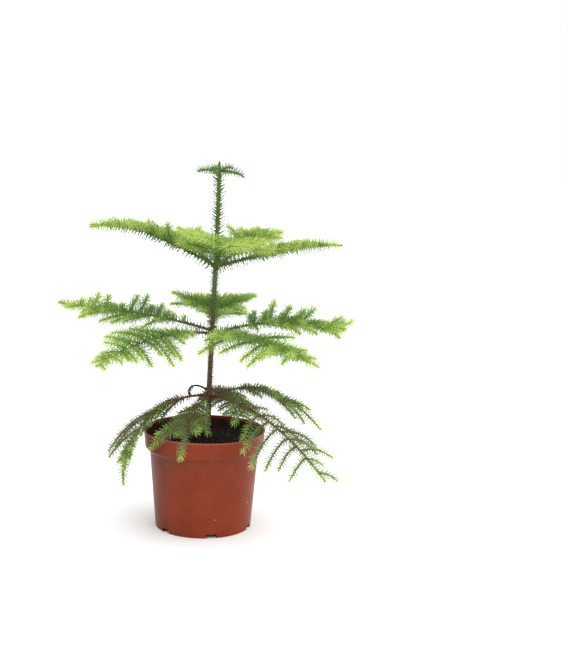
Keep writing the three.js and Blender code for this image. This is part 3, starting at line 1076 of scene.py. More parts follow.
@dataclass(frozen=True)
class Pot:
    """The moulded pot: a tapering wall under a wider collar with a thin lip, on a notched foot.

    The rim is out of true: it rises and falls by the warp, in a few waves round the pot.
    """

    height: float = 105.0
    rim_radius: float = 65.0
    collar_height: float = 18.0
    collar_foot_radius: float = 62.8
    shoulder_height: float = 3.5
    shoulder_radius: float = 57.9
    foot_radius: float = 51.0
    wall: float = 1.4
    floor: float = 2.4
    lip: float = 0.7
    warp: float = 0.3
    warp_waves: float = 3.0
    warp_turn: float = 1.1
    notch_count: int = 6
    notch_azimuth: float = 40.0
    notch_width: float = 11.0
    notch_height: float = 4.2
    notch_inner: float = 43.0
    columns: int = 30
    notch_columns: int = 6
    longest_row: float = 5.0
    arc_points: int = 5
    # How far down the inner wall its soil and painted shade grow full
    soil_and_shade_from: float = 4.0
    sharp: float = 38.0

    @property
    def collar_foot(self) -> float:
        """The height of the collar's lower edge."""
        return self.height - self.collar_height

    @property
    def shoulder(self) -> float:
        """The height where the wall turns out to the collar."""
        return self.collar_foot - self.shoulder_height

    @property
    def inner_rim(self) -> float:
        """The radius inside the collar's foot."""
        return self.collar_foot_radius - self.wall

    def wall_radius(self, height: float) -> float:
        """The outer wall's radius at a height below the shoulder."""
        return blend(self.foot_radius, self.shoulder_radius, height / self.shoulder)

    def outline(self) -> Array:
        """The section from the middle of the underside, round the rim, to the middle of the floor.

        Returns:
            Points of radius and height, corners rounded by parabolas that touch both sides.
        """
        notch = self.notch_height
        thick = self.wall
        # Radius, height, and how far from the corner its rounding begins
        corners = np.array([
            (1.0, 0.0, 0.0),
            (self.notch_inner, 0.0, 0.0),
            (self.foot_radius, 0.0, 0.7),
            (self.wall_radius(notch), notch, 0.0),
            (self.shoulder_radius, self.shoulder, 1.6),
            (self.collar_foot_radius, self.collar_foot, 1.0),
            (self.rim_radius - self.lip, self.height - 2.4 * self.lip, 0.3),
            (self.rim_radius, self.height - 1.5 * self.lip, 0.35),
            (self.rim_radius, self.height, 0.5),
            (self.rim_radius - thick - 0.2, self.height, 0.5),
            (self.collar_foot_radius - thick, self.collar_foot + thick / 2.0, 1.2),
            (self.shoulder_radius - thick, self.shoulder + thick / 2.0, 1.2),
            (self.wall_radius(notch) - thick, notch, 0.0),
            (self.foot_radius - thick, self.floor, 0.6),
            (self.notch_inner, self.floor, 0.0),
            (1.0, self.floor, 0.0),
        ])
        return finer(softened(corners[:, :2], corners[:, 2], self.arc_points), self.longest_row)

    def turns(self) -> tuple[Array, Array]:
        """The columns' angles, close at each notch.

        Returns:
            The angles in radians, and whether the face after each column lies in a notch.
        """
        half = math.asin(self.notch_width / 2.0 / self.foot_radius)
        sector = FULL_TURN / self.notch_count
        inside = np.linspace(-half, half, self.notch_columns, endpoint=False)
        outside = np.linspace(half, sector - half, self.columns - self.notch_columns, endpoint=False)
        starts = math.radians(self.notch_azimuth) + sector * np.arange(self.notch_count)
        angles = (starts[:, None] + np.concatenate([inside, outside])).ravel()
        notched = np.tile(np.arange(self.columns) < self.notch_columns, self.notch_count)
        return angles, notched

    def build(self) -> None:
        """Turns the outline about the pot's axis, leaves the notches open and closes their cut sides."""
        outline = self.outline()
        angles, notched = self.turns()
        rings = spun(outline, angles)
        wave = np.sin(self.warp_waves * angles + self.warp_turn)
        rings[..., 2] += self.warp * wave * ease(rings[..., 2], self.shoulder, self.height)
        rows, sides, _ = rings.shape

        def row_of(place: tuple[float, float], first: int) -> int:
            """The row nearest to a point of the section, from a row on."""
            away = np.linalg.norm(outline[first:] - np.array(place), axis=1)
            return first + int(np.argmin(away))

        crest = int(np.argmax(outline[:, 1]))
        wall = self.wall_radius(self.notch_height)
        under = row_of((self.notch_inner, 0.0), 0)
        outer = row_of((wall, self.notch_height), 0)
        inner = row_of((wall - self.wall, self.notch_height), crest)
        inside = row_of((self.notch_inner, self.floor), crest)

        row = np.arange(rows - 1)
        cut = ((row >= under) & (row < outer)) | ((row >= inner) & (row < inside))
        kept = band(rows, sides)[~(cut[:, None] & notched)]
        here = np.flatnonzero(notched)
        after = (here + 1) % sides

        def strip(low: int, high: int) -> Array:
            """Faces across the notches between two rows."""
            start, end = low * sides, high * sides
            return np.stack([start + here, start + after, end + after, end + here], axis=-1)

        section = np.concatenate([np.arange(under, outer + 1), np.arange(inner, inside + 1)]) * sides
        begin = np.flatnonzero(notched & ~np.roll(notched, 1))
        close = (begin + self.notch_columns) % sides
        # Soil and painted shade on the inner wall, from the crest down, passed to the finish as relief
        deep = ease(self.height - outline[:, 1], 0.0, self.soil_and_shade_from)
        inner_soil_and_shade = np.where(np.arange(rows) > crest, deep, 0.0)
        surface = Surface()
        surface.add(
            with_poles(rings),
            kept,
            strip(outer, inner),
            strip(inside, under),
            section[None, :] + begin[:, None],
            section[None, ::-1] + close[:, None],
            *fans(rows, sides),
            relief=np.concatenate([np.repeat(inner_soil_and_shade, sides), [0.0, 1.0]]),
        )
        surface.piece("moulded_pot", PotPlastic().material(), "pot_plastic", "pot", sharp=self.sharp)


@dataclass(frozen=True)
class BarkRelief:
    """Bark round a limb: old leaf cushions in two crossing spirals, roughened by coarse and fine grain.

    The depth is how far cushions stand out. Their length and the grains' widths are shares of the radius.
    """

    radius: float
    depth: float
    sides: int
    seed: float
    cushion: float = 0.52
    slant: float = 1.6
    left_spirals: float = 5.0
    right_spirals: float = 3.0
    coarse: float = 0.55
    fine: float = 0.3
    fine_stretch: float = 0.35

    def heights(self, distances: Array) -> Array:
        """The relief: 0.55 times the mean of two cosines, one for each spiral, and 0.45 times the grain.

        Args:
            distances: Distances along the limb.

        Returns:
            The relief from -1 to 1, of shape (distances, sides).
        """
        turn = around(self.sides)[None, :]
        distance = distances[:, None]
        climb = distance / (self.cushion * self.radius) * self.slant
        lattice = 0.5 * (np.cos(self.left_spirals * turn + climb) + np.cos(self.right_spirals * turn - climb))
        across, along = self.radius * np.cos(turn), self.radius * np.sin(turn)
        spot = np.stack(np.broadcast_arrays(across, along, distance), axis=-1)
        coarse = grain(spot, self.coarse * self.radius, self.seed)
        fine = grain(spot * (1.0, 1.0, self.fine_stretch), self.fine * self.radius, self.seed + 3.0)
        return 0.55 * lattice + 0.45 * (0.6 * coarse + 0.4 * fine)

    def surface(self, line: Line, distances: Array, radii: Array, taper: Array | float = 1.0) -> Surface:
        """A tube of bark along a line.

        Args:
            line: The limb's line.
            distances: Where along it each ring stands.
            radii: The bark's radius at each ring.
            taper: A share of the radius for each ring, with the relief in it, as a column.

        Returns:
            The surface.
        """
        relief = self.heights(distances)
        wide = (radii[:, None] + self.depth * relief) * taper
        made = Surface()
        made.tube(ring_points(line, distances, wide, self.sides), np.clip(0.5 + 0.6 * relief, 0.0, 1.0))
        return made


@dataclass(frozen=True)
class NeedleZone:
    """A stretch of the stem between two heights, how needles stand on it, and their vigour."""

    low: float
    high: float
    habit: NeedleHabit
    vigour: float


@dataclass(frozen=True)
class Stem:
    """The stem: it leans in a soft S, flares at its foot, swells at each whorl and ends in a bud.

    Its needles are dry spines low down, and longer and greener above each whorl.
    """

    foot: float = 95.0
    tip: float = 388.0
    foot_offset: float = 3.7
    lean: float = 7.3
    tip_radius: float = 1.5
    taper: float = 1.5
    taper_power: float = 1.2
    flare: float = 1.5
    flare_height: float = 7.0
    swell: float = 0.6
    swell_height: float = 5.0
    whorls: Trio = (139.0, 209.0, 278.0)
    sunk: float = 3.0
    dome: float = 3.5
    ring_step: float = 0.7
    line_steps: int = 160
    needle_sunk: float = 0.4
    bark: BarkRelief = BarkRelief(3.0, 0.26, 40, 1.0)
    finish: BarkFinish = BarkFinish(
        "stem_bark", (0.135, 0.058, 0.034), (0.128, 0.080, 0.040), (0.145, 0.205, 0.066)
    )
    zones: tuple[NeedleZone, ...] = (
        NeedleZone(148.0, 205.0, NeedleHabit(4.2, 0.30, 80.0, 48.0, 0.0, 0.1), 0.7),
        NeedleZone(212.0, 275.0, NeedleHabit(6.4, 0.34, 80.0, 42.0, 0.0, 0.1), 1.6),
        NeedleZone(282.0, 378.0, NeedleHabit(9.4, 0.44, 78.0, 32.0, 0.0, 0.1), 2.8),
    )

    def axis(self, height: Array | float) -> Array:
        """The middle of the stem at these heights.

        Args:
            height: One height, or an array of them.

        Returns:
            A place for each height.
        """
        share = ease(np.asarray(height, dtype=float), self.foot, self.tip)
        across = self.foot_offset + self.lean * share
        return np.stack([across, np.zeros_like(across), np.asarray(height, dtype=float)], axis=-1)

    def radius(self, height: Array | float) -> Array:
        """The bark's radius at these heights: a taper, a flare at the foot, and a swelling at each whorl.

        Args:
            height: One height, or an array of them.

        Returns:
            A radius for each height.
        """
        level = np.asarray(height, dtype=float)
        share = (level - self.foot) / (self.tip - self.foot)
        taper = self.taper * np.clip(1.0 - share, 0.0, None) ** self.taper_power
        flare = self.flare * np.exp((self.foot - level) / self.flare_height)
        swell = [np.exp(-(((level - whorl) / self.swell_height) ** 2)) for whorl in self.whorls]
        return self.tip_radius + taper + flare + self.swell * np.max(swell, axis=0)

    @functools.cached_property
    def line(self) -> Line:
        """The stem's line from just under the soil to its tip."""
        heights = np.linspace(self.foot - self.sunk, self.tip, self.line_steps)
        return Line(self.axis(heights), 0.0)

    def build(self) -> None:
        """Makes the bark, rounded off at the tip, and the needles up the stem."""
        line = self.line
        distances = np.linspace(0.0, line.length, int(line.length / self.ring_step))
        heights = line.at(distances)[:, 2]
        left = np.clip((self.tip - heights) / self.dome, 0.0, 1.0)
        dome = np.sqrt(np.clip(1.0 - (1.0 - left) ** 2, 0.02, 1.0))
        surface = self.bark.surface(line, distances, self.radius(heights), dome[:, None])
        surface.piece("stem_bark", self.finish.material(), "stem_bark", "trunk")
        bed = NeedleBed("stem", (Tint.DRY, Tint.OLD, Tint.DEEP, Tint.MID))
        for number, zone in enumerate(self.zones):
            start, end = np.interp((zone.low, zone.high), line.points[:, 2], line.distances)
            foot = float(self.radius((zone.low + zone.high) / 2.0)) - self.needle_sunk
            bed.add(Spray.on(line, foot, zone.habit, start, end, 7.0 + number), zone.vigour, 3.0 + number)
        bed.pieces("stem_bark")


@dataclass(frozen=True)
class Crumb:
    """One kind of crumb on the soil: uneven flattened lumps of twenty faces, by size and stretch."""

    tint: Tint
    count: int
    size: float
    stretch: Trio
    seed: int
    size_spread: float = 0.35
    unevenness: float = 0.3
    showing: float = 0.25
    margin: float = 2.0
    sharp: float = 30.0

    @staticmethod
    def lump() -> tuple[Array, Array]:
        """A regular solid of twenty faces: its corners are those of three golden rectangles.

        Returns:
            Its twelve corners, and the corner numbers of its faces, which point outwards.
        """
        pairs = list(itertools.product((-1.0, 1.0), (-GOLDEN_RATIO, GOLDEN_RATIO)))
        flat = np.array([(a, b, 0.0) for a, b in pairs])
        corners = np.concatenate([np.roll(flat, shift, axis=1) for shift in range(3)]) / GOLDEN_RATIO
        longest_edge = 1.3
        near = np.linalg.norm(corners[:, None] - corners[None], axis=-1) < longest_edge
        trios = itertools.combinations(range(len(corners)), 3)
        faces = np.array([(a, b, c) for a, b, c in trios if near[a, b] and near[b, c] and near[a, c]])
        inward = np.linalg.det(corners[faces]) < 0.0
        faces[inward] = faces[inward][:, ::-1]
        return corners, faces

    def strew(self, soil: Soil) -> None:
        """Strews the crumbs over the soil.

        Args:
            soil: The soil.
        """
        draw = np.random.default_rng(self.seed)
        reach = (soil.radius - self.margin) * np.sqrt(draw.random(self.count))
        turn = FULL_TURN * draw.random(self.count)
        x, y = reach * np.cos(turn), reach * np.sin(turn)
        size = self.size * draw.lognormal(0.0, self.size_spread, self.count)
        spot = np.stack([x, y, soil.surface_height(x, y) + self.showing * size], axis=-1)
        corners, faces = self.lump()
        bulge = 1.0 + self.unevenness * (draw.random((self.count, len(corners), 1)) - 0.5)
        uneven = corners[None] * np.array(self.stretch) * bulge
        # A unit quaternion w, v turns a point p to p + 2w (v x p) + 2 v x (v x p)
        spins = unit(draw.normal(size=(self.count, 4)))
        axis = np.broadcast_to(spins[:, None, 1:], uneven.shape)
        twice = 2.0 * np.cross(axis, uneven)
        turned = uneven + spins[:, None, :1] * twice + np.cross(axis, twice)
        surface = Surface()
        surface.copies(spot[:, None] + turned * size[:, None, None], faces)
        finish = PlainFinish(self.tint, roughness=0.9, gloss=0.2)
        name = f"soil_crumbs_{self.tint.name.lower()}"
        surface.piece(name, finish.material(), "potting_soil", sharp=self.sharp)


@dataclass(frozen=True)
class Soil:
    """The filling: a crumbly top that falls a little to the pot's wall, and loose crumbs on it.

    Its grains are given by height, size and seed, from the coarsest to the finest.
    """

    pot: Pot = Pot()
    stem: Stem = Stem()
    top: float = 94.7
    edge_drop: float = 1.7
    flat_radius: float = 30.0
    mound: float = 1.6
    mound_radius: float = 9.0
    grains: tuple[Trio, ...] = ((0.9, 9.0, 0.0), (0.6, 3.7, 5.0), (0.45, 1.6, 9.0))
    rows: int = 84
    columns: int = 220
    longest_row: float = 12.0
    crumbs: tuple[Crumb, ...] = (
        Crumb(Tint.PEAT, 1500, 0.75, (1.0, 0.8, 0.65), 40),
        Crumb(Tint.CHIP, 375, 0.7, (2.1, 0.8, 0.45), 41),
        Crumb(Tint.GRIT, 93, 0.4, (1.0, 0.9, 0.8), 42),
    )

    @property
    def radius(self) -> float:
        """The radius of the top."""
        return self.pot.inner_rim - CLEARANCE

    def surface_height(self, x: Array, y: Array) -> Array:
        """The top's height: flat, falling to the edge, mounded at the stem, with three sizes of grain.

        Args:
            x: Places to the right.
            y: Places to the back.

        Returns:
            A height for each place.
        """
        spot = np.stack([x, y, np.zeros_like(x)], axis=-1)
        fall = self.edge_drop * ease(np.hypot(x, y), self.flat_radius, self.radius)
        mound = self.mound * np.exp(-((np.hypot(x - self.stem.foot_offset, y) / self.mound_radius) ** 2))
        rough = sum(height * grain(spot, size, seed) for height, size, seed in self.grains)
        return self.top - fall + mound + rough

    def build(self) -> None:
        """Makes the body of soil and the crumbs on it."""
        turn = around(self.columns)
        out = self.radius * (np.arange(self.rows) + 1.0) / self.rows
        x, y = out[:, None] * np.cos(turn), out[:, None] * np.sin(turn)
        top = np.stack([x, y, self.surface_height(x, y)], axis=-1)
        pot = self.pot
        clear = pot.wall + 2.0 * CLEARANCE
        side = finer(np.array([
            (1.0, pot.floor + CLEARANCE),
            (pot.foot_radius - clear, pot.floor + CLEARANCE),
            (pot.shoulder_radius - clear, pot.shoulder + pot.wall / 2.0 + CLEARANCE),
            (pot.collar_foot_radius - clear, pot.collar_foot + pot.wall / 2.0 + CLEARANCE),
        ]), self.longest_row)
        surface = Surface()
        surface.tube(np.concatenate([spun(side, turn), top[::-1]]))
        surface.piece("soil_filling", PottingSoil().material(), "potting_soil", "soil")
        for crumb in self.crumbs:
            crumb.strew(self)


@dataclass(frozen=True)
class Vigour:
    """How green the needles of a whorl are: a level for twigs, one for limbs, and gains towards the tips.

    Outward is the gain from a bough's inner twigs to its tip, and tip the one at the end of each shoot,
    which fades over the tip's reach. Needles on the bare part of a bough fall short by the bare loss.
    """

    tints: tuple[Tint, ...]
    twig: float
    limb: float
    outward: float
    tip: float
    tip_reach: float = 9.0
    spread: float = 0.7
    bare_loss: float = 0.2

    def level(self, base: float, way: Array | float, from_tip: Array) -> Array:
        """The level of needles: a base, the gain by the share of the way out, and the gain at the tip."""
        return base + self.outward * way + self.tip * np.exp(-from_tip / self.tip_reach)


@dataclass
class Whorl:
    """Boughs that leave the stem at one height, with their twigs and needles."""

    name: str
    height: float
    twig: TwigHabit
    boughs: tuple[Limb, ...]
    vigour: Vigour
    twig_needles: NeedleHabit
    limb_needles: NeedleHabit
    bare_needles: NeedleHabit
    bark: BarkFinish
    bark_slot: str
    limb_tints: tuple[tuple[float, Tint], ...]
    twig_tint: Tint
    bare_needles_from: float = 0.2
    tip_gap: float = 4.0
    root_radius: float = 1.5
    end_radius: float = 1.1
    collar: float = 0.7
    collar_reach: float = 2.5
    bark_step: float = 0.6
    limb_step: float = 2.0
    limb_needle_foot: float = 0.5
    bare_needle_foot: float = 0.9
    stagger: float = 6.0
    stagger_turn: float = 0.4
    rule: TwigRule = TwigRule()
    stem: Stem = Stem()
    pot: Pot = Pot()

    def __post_init__(self) -> None:
        """Starts the surfaces of its twigs, by tint, and the bed of its needles."""
        self.wood: dict[Tint, Surface] = {}
        self.bed = NeedleBed(self.name, self.vigour.tints)

    def line(self, index: int) -> Line:
        """The line of one bough; boughs of a whorl leave the stem at slightly different heights."""
        rise = self.stagger * (((self.stagger_turn * index) % 1.0) - self.stagger_turn)
        return limb_line(self.stem.axis(self.height + rise), self.boughs[index])

    def roomy(self, index: int, points: Array) -> Array:
        """Whether needles of a bough have room at each place.

        The room is the wedge about halfway to the boughs on either side, clear of pot, soil and stem.

        Args:
            index: Which bough.
            points: The places.

        Returns:
            True or false for each place.
        """
        pot, stem, reach = self.pot, self.stem, self.rule.needle_reach
        last, own, after = (self.boughs[(index + step) % len(self.boughs)] for step in (-1, 0, 1))
        to_last = ((own.azimuth - last.azimuth) % 360.0) / 2.0 + own.elbow
        to_next = ((after.azimuth - own.azimuth) % 360.0) / 2.0 - after.elbow
        low, high = math.radians(own.azimuth - to_last), math.radians(own.azimuth + to_next)
        x, y, _ = (points - stem.axis(self.height)).T
        wedge = np.minimum(y * math.cos(low) - x * math.sin(low), x * math.sin(high) - y * math.cos(high))
        radius = np.hypot(points[:, 0], points[:, 1])
        beside = np.maximum(np.maximum(pot.inner_rim - radius, radius - pot.rim_radius), 0.0)
        rim = np.hypot(beside, np.maximum(points[:, 2] - pot.height, 0.0))
        over_soil = np.where(radius < pot.inner_rim, points[:, 2] - stem.foot, np.inf)
        off_axis = np.linalg.norm((points - stem.axis(points[:, 2]))[:, :2], axis=1)
        bark = off_axis - stem.radius(points[:, 2]) - reach
        return np.min([wedge, rim, over_soil, bark], axis=0) > reach + CLEARANCE

    def twigs(self, index: int) -> list[Twig]:
        """The twigs of one bough, in loose pairs, with a pair between every two pairs of the solids.

        Args:
            index: Which bough.

        Returns:
            The twigs that have room, each as far as its room goes.
        """
        habit, rule = self.twig, self.rule
        limb, bough = self.boughs[index], self.line(index)
        found = []
        for half, side in itertools.product(range(2 * limb.pairs - 1), (-1, 1)):
            pair, between = divmod(half, 2)
            seed = 1000 * self.height + 100 * index + 2 * pair + (side > 0) + rule.between_seed * between
            offset = rule.pair_offset * (side + seeded(seed) - 0.5)
            way = float((half / 2.0 + 0.5 + offset) / limb.pairs)
            distance = bough.length * blend(limb.bare, 1.0, way * (1.0 - limb.bare_tip))
            along, aside, above = bough.frame(distance)
            spread = math.radians(limb.angle - limb.narrowing * way)
            uneven = habit.lift_spread * (seeded(seed + rule.lift_seed) - 0.5)
            rise = math.radians(limb.lift + side * limb.tilt + uneven)
            heading = along * math.cos(spread) + aside * side * math.sin(spread) + above * math.sin(rise)
            inner = blend(habit.innermost, 1.0, min(1.0, way / rule.full_from))
            shorter = inner * blend(1.0, rule.tip_share, way**rule.shortening)
            uneven = habit.length_spread * (seeded(seed + rule.length_seed) - 0.5)
            growth = float(1.0 + side * limb.favour + uneven) * (habit.between if between else 1.0)
            droop = limb.droop * blend(1.0, rule.tip_droop, way)
            line = rule.line(bough.at(distance), heading, limb.twig * shorter * growth, droop)
            count = int(np.logical_and.accumulate(self.roomy(index, line.points)).sum())
            if count * rule.step >= rule.shortest:
                found.append(Twig(Line(line.points[:count], line.azimuth), way, float(seed)))
        return found

    def build(self) -> None:
        """Makes the whorl's boughs, twigs and needles."""
        nodes = [f"{self.name}_foliage_{i + 1}" for i in range(len(self.boughs))]
        bark = self.bark.material()
        for index, limb in enumerate(self.boughs):
            self.build_bough(index, bark)
            self.grow_limb(index)
            for twig in self.twigs(index):
                self.grow_twig(twig, limb.fade)
        for tint, surface in self.wood.items():
            finish = PlainFinish(tint, roughness=0.7, gloss=0.25)
            surface.piece(f"{self.name}_twigs_{tint.name.lower()}", finish.material(), self.bark_slot, *nodes)
        self.bed.pieces(f"{self.name}_needles", *nodes)

    def build_bough(self, index: int, bark: bpy.types.Material) -> None:
        """Makes one bough's bare inner part, with bark relief and a collar where it leaves the stem.

        Args:
            index: Which bough.
            bark: The bark's finish.
        """
        line = self.line(index)
        end = self.boughs[index].bare * line.length
        distances = np.linspace(0.0, end, int(end / self.bark_step))
        stout = blend(self.root_radius, self.end_radius, distances / end)
        outside = np.clip(distances - self.stem.radius(self.height), 0.0, None)
        collar = self.collar * np.exp(-outside / self.collar_reach)
        relief = BarkRelief(radius=1.7, depth=0.16, sides=20, seed=20.0 + index)
        node = f"{self.name}_bough_{index + 1}"
        surface = relief.surface(line, distances, stout + collar)
        surface.piece(f"{node}_bark", bark, self.bark_slot, node)

    def grow_limb(self, index: int) -> None:
        """Carries a bough on to its tip, from woody to green, with its own needles.

        Args:
            index: Which bough.
        """
        limb, line, mood = self.boughs[index], self.line(index), self.vigour
        seed = self.height + 11.0 * index
        start = limb.bare * line.length
        end = line.length - self.tip_gap
        shares = [0.0] + [share for share, _ in self.limb_tints]
        for (low, high), (_, tint) in zip(itertools.pairwise(shares), self.limb_tints):
            ways = np.linspace(low, high, 2 + int((high - low) * (end - start) / self.limb_step))
            radii = blend(self.end_radius, self.rule.tip_radius, ways)
            rings = ring_points(line, blend(start, end, ways), radii, self.rule.sides)
            self.wood.setdefault(tint, Surface()).tube(rings)
        spray = Spray.on(line, self.limb_needle_foot, self.limb_needles, start, end, seed)
        base = mood.limb - limb.fade
        self.bed.add(spray, mood.level(base, 1.0 - spray.from_tip / (end - start), spray.from_tip), seed)
        begin = blend(float(self.stem.radius(self.height)), start, self.bare_needles_from)
        inner = Spray.on(line, self.bare_needle_foot, self.bare_needles, begin, start, seed + 5.0)
        self.bed.add(inner, base - mood.bare_loss, seed + 5.0)

    def grow_twig(self, twig: Twig, fade: float) -> None:
        """Makes one twig and its needles.

        Args:
            twig: The twig.
            fade: How much duller than the whorl's its needles are.
        """
        rule, mood = self.rule, self.vigour
        line, seed = twig.line, twig.seed
        end = line.length - rule.needle_ahead
        distances = np.linspace(0.0, end, 2 + int(end / rule.ring_step))
        radii = blend(rule.root_radius, rule.tip_radius, distances / end)
        rings = ring_points(line, distances, radii, rule.sides)
        self.wood.setdefault(self.twig_tint, Surface()).tube(rings)
        spray = Spray.on(line, rule.needle_foot, self.twig_needles, rule.needle_from, end, seed)
        base = mood.twig - fade + mood.spread * float(seeded(seed + rule.vigour_seed) - 0.5)
        self.bed.add(spray, mood.level(base, twig.way, spray.from_tip), seed + rule.needle_seed)


@dataclass(frozen=True)
class Leader:
    """New shoots just under the stem's tip, and the buds that end them, the stem and the upper boughs."""

    stem: Stem = Stem()
    height: float = 378.0
    radius: float = 1.2
    tip_radius: float = 0.7
    rings: int = 14
    sides: int = 8
    sprouts: tuple[Limb, ...] = (
        Limb(42.0, 19.0, 24.0, -6.0, 1.5),
        Limb(114.0, 20.0, 18.0, -14.0, 1.5),
        Limb(186.0, 22.0, 14.0, -20.0, 1.5),
        Limb(258.0, 17.0, 12.0, -24.0, 1.5),
        Limb(334.0, 29.0, 6.0, -32.0, 1.5),
    )
    habit: NeedleHabit = NeedleHabit(6.4, 0.36, 86.0, 54.0, 0.2, 3.0)
    vigour: Vigour = Vigour((Tint.DEEP, Tint.MID, Tint.FRESH), 0.7, 0.7, 0.0, 0.8, 6.0)
    needle_foot: float = 0.5
    needle_from: float = 2.5
    needle_ahead: float = 0.5
    bud_length: float = 2.6
    bud_sunk: float = 1.6
    bud_radius: float = 0.95
    bud_fullness: float = 0.7
    bud_rings: int = 9
    bud_sides: int = 10

    def build(self, tips: list[Line]) -> None:
        """Makes the shoots, their needles and all buds.

        Args:
            tips: Further lines that end in a bud.
        """
        root = self.stem.axis(self.height)
        lines = [limb_line(root, sprout) for sprout in self.sprouts]
        nodes = [f"leader_foliage_{i + 1}" for i in range(len(lines))]
        surface = Surface()
        bed = NeedleBed("leader", self.vigour.tints)
        for number, line in enumerate(lines):
            distances = np.linspace(0.0, line.length, self.rings)
            radii = blend(self.radius, self.tip_radius, distances / line.length)
            surface.tube(ring_points(line, distances, radii, self.sides))
            end = line.length - self.needle_ahead
            spray = Spray.on(line, self.needle_foot, self.habit, self.needle_from, end, 60.0 + number)
            bed.add(spray, self.vigour.level(self.vigour.limb, 0.0, spray.from_tip), 70.0 + number)
        finish = PlainFinish(Tint.GREEN, roughness=0.6, gloss=0.3)
        surface.piece("leader_shoots", finish.material(), "upper_needles", *nodes)
        bed.pieces("upper_needles", *nodes)
        self.build_buds([self.stem.line, *lines, *tips])

    def build_buds(self, lines: list[Line]) -> None:
        """Ends each line in a bud: an egg of radius sin(pi w)^0.7 along the line's last heading.

        Args:
            lines: The lines.
        """
        way = np.linspace(0.03, 0.97, self.bud_rings)
        radii = self.bud_radius * np.sin(math.pi * way) ** self.bud_fullness
        surface = Surface()
        for line in lines:
            heading = line.headings[-1]
            start = line.points[-1] - heading * self.bud_sunk
            egg = Line(start + heading * (self.bud_length * way)[:, None], line.azimuth)
            surface.tube(ring_points(egg, egg.distances, radii, self.bud_sides))
        finish = PlainFinish(Tint.BUD, roughness=0.6, gloss=0.3)
        surface.piece("tip_buds", finish.material(), "dry_bark")


@dataclass(frozen=True)
class DryCurl:
    """A dead limb, dried to a short curl, with the last of its needles towards its tip."""

    stem: Stem = Stem()
    height: float = 145.5
    limb: Limb = Limb(162.0, 31.0, 32.0, -125.0, 2.2)
    root_radius: float = 1.2
    tip_radius: float = 0.9
    rings: int = 60
    bark: BarkRelief = BarkRelief(radius=1.2, depth=0.2, sides=16, seed=33.0)
    brown: Trio = (0.075, 0.042, 0.026)
    habit: NeedleHabit = NeedleHabit(5.0, 0.32, 74.0, 30.0, 0.0, 5.0)
    needle_foot: float = 0.6
    needles_from: float = 0.62

    def build(self) -> None:
        """Makes the curl and its dry needles."""
        line = limb_line(self.stem.axis(self.height), self.limb)
        distances = np.linspace(0.0, line.length, self.rings)
        radii = blend(self.root_radius, self.tip_radius, distances / line.length)
        finish = BarkFinish("dry_bark", self.brown, self.brown, self.brown)
        surface = self.bark.surface(line, distances, radii)
        surface.piece("dry_curl_bark", finish.material(), "dry_bark", "dry_curl")
        bed = NeedleBed("dry_curl", (Tint.DRY,))
        start = self.needles_from * line.length
        bed.add(Spray.on(line, self.needle_foot, self.habit, start, line.length, 88.0), 0.0, 89.0)
        bed.pieces("dry_bark")


UPPER_GREENS = (Tint.DEEP, Tint.MID, Tint.FRESH, Tint.YOUNG)
LOWER_GREENS = (Tint.DRY, Tint.OLD, Tint.MOSS, Tint.FRESH, Tint.YOUNG)

LOWER_BOUGHS = (
    Limb(16.0, 152.0, 52.0, -53.0, 0.5, bare=0.14, pairs=5, twig=48.0, angle=46.0, lift=10.0,
         favour=-0.3, droop=1.4, bare_tip=0.30),
    Limb(70.0, 122.0, 38.0, -58.0, 0.5, bare=0.16, pairs=8, twig=54.0, angle=74.0, lift=6.0,
         droop=1.6, bare_tip=0.05, fade=0.4),
    Limb(198.0, 154.0, 8.0, -100.0, 1.0, bare=0.12, pairs=8, twig=92.0, angle=58.0, tilt=6.0,
         favour=-0.25, droop=1.4, bare_tip=0.22, fade=0.2),
    Limb(250.0, 106.0, 35.0, -62.0, 0.5, bare=0.14, pairs=9, twig=54.0, angle=84.0, lift=6.0,
         favour=-0.5, droop=2.6, bare_tip=0.24, elbow=7.0, fade=0.65),
    Limb(317.0, 180.0, 20.0, -42.0, 0.5, bare=0.12, pairs=5, twig=84.0, angle=86.0, lift=2.0,
         droop=1.9, bare_tip=0.06),
)
MIDDLE_BOUGHS = (
    Limb(6.0, 148.0, 23.0, -16.0, 0.8, bare=0.20, pairs=8, twig=74.0, angle=86.0, narrowing=42.0, lift=4.0,
         tilt=4.0, favour=0.12, droop=0.2, bare_tip=0.06),
    Limb(90.0, 132.0, 24.0, -5.0, 0.8, bare=0.22, pairs=5, twig=72.0, angle=70.0, lift=4.0,
         droop=0.25, bare_tip=0.05),
    Limb(155.0, 188.0, 11.5, -1.5, 0.8, bare=0.18, pairs=7, twig=60.0, angle=76.0, lift=8.0, tilt=-6.0,
         droop=0.2, bare_tip=0.06),
    Limb(219.0, 154.0, 14.0, -25.0, 0.8, bare=0.13, pairs=8, twig=62.0, angle=84.0, lift=6.0, tilt=-6.0,
         droop=0.9, bare_tip=0.05),
    Limb(305.0, 168.0, 7.0, -9.5, 0.8, bare=0.11, pairs=7, twig=64.0, angle=86.0, narrowing=34.0, lift=2.0,
         tilt=-6.0, favour=-0.2, droop=0.5, bare_tip=0.06, elbow=7.0),
)
UPPER_BOUGHS = (
    Limb(56.0, 112.0, 25.0, -10.0, 3.0, bare=0.26, pairs=6, twig=54.0, angle=62.0, lift=10.0,
         droop=0.25, bare_tip=0.10),
    Limb(126.0, 96.0, 24.0, -10.0, 3.0, bare=0.28, pairs=6, twig=44.0, angle=62.0, lift=14.0,
         droop=0.25, bare_tip=0.12),
    Limb(194.0, 141.0, 28.0, -16.0, 3.0, bare=0.28, pairs=5, twig=42.0, angle=62.0, lift=11.0, tilt=9.0,
         droop=0.2, bare_tip=0.06),
    Limb(276.0, 118.0, 26.0, -10.0, 3.0, bare=0.34, pairs=5, twig=66.0, angle=68.0, lift=11.0, tilt=-5.0,
         droop=0.25, bare_tip=0.06),
    Limb(350.0, 135.0, 16.5, -3.0, 3.0, bare=0.28, pairs=6, twig=36.0, angle=62.0, lift=12.0, tilt=-4.0,
         droop=0.2, bare_tip=0.24),
)


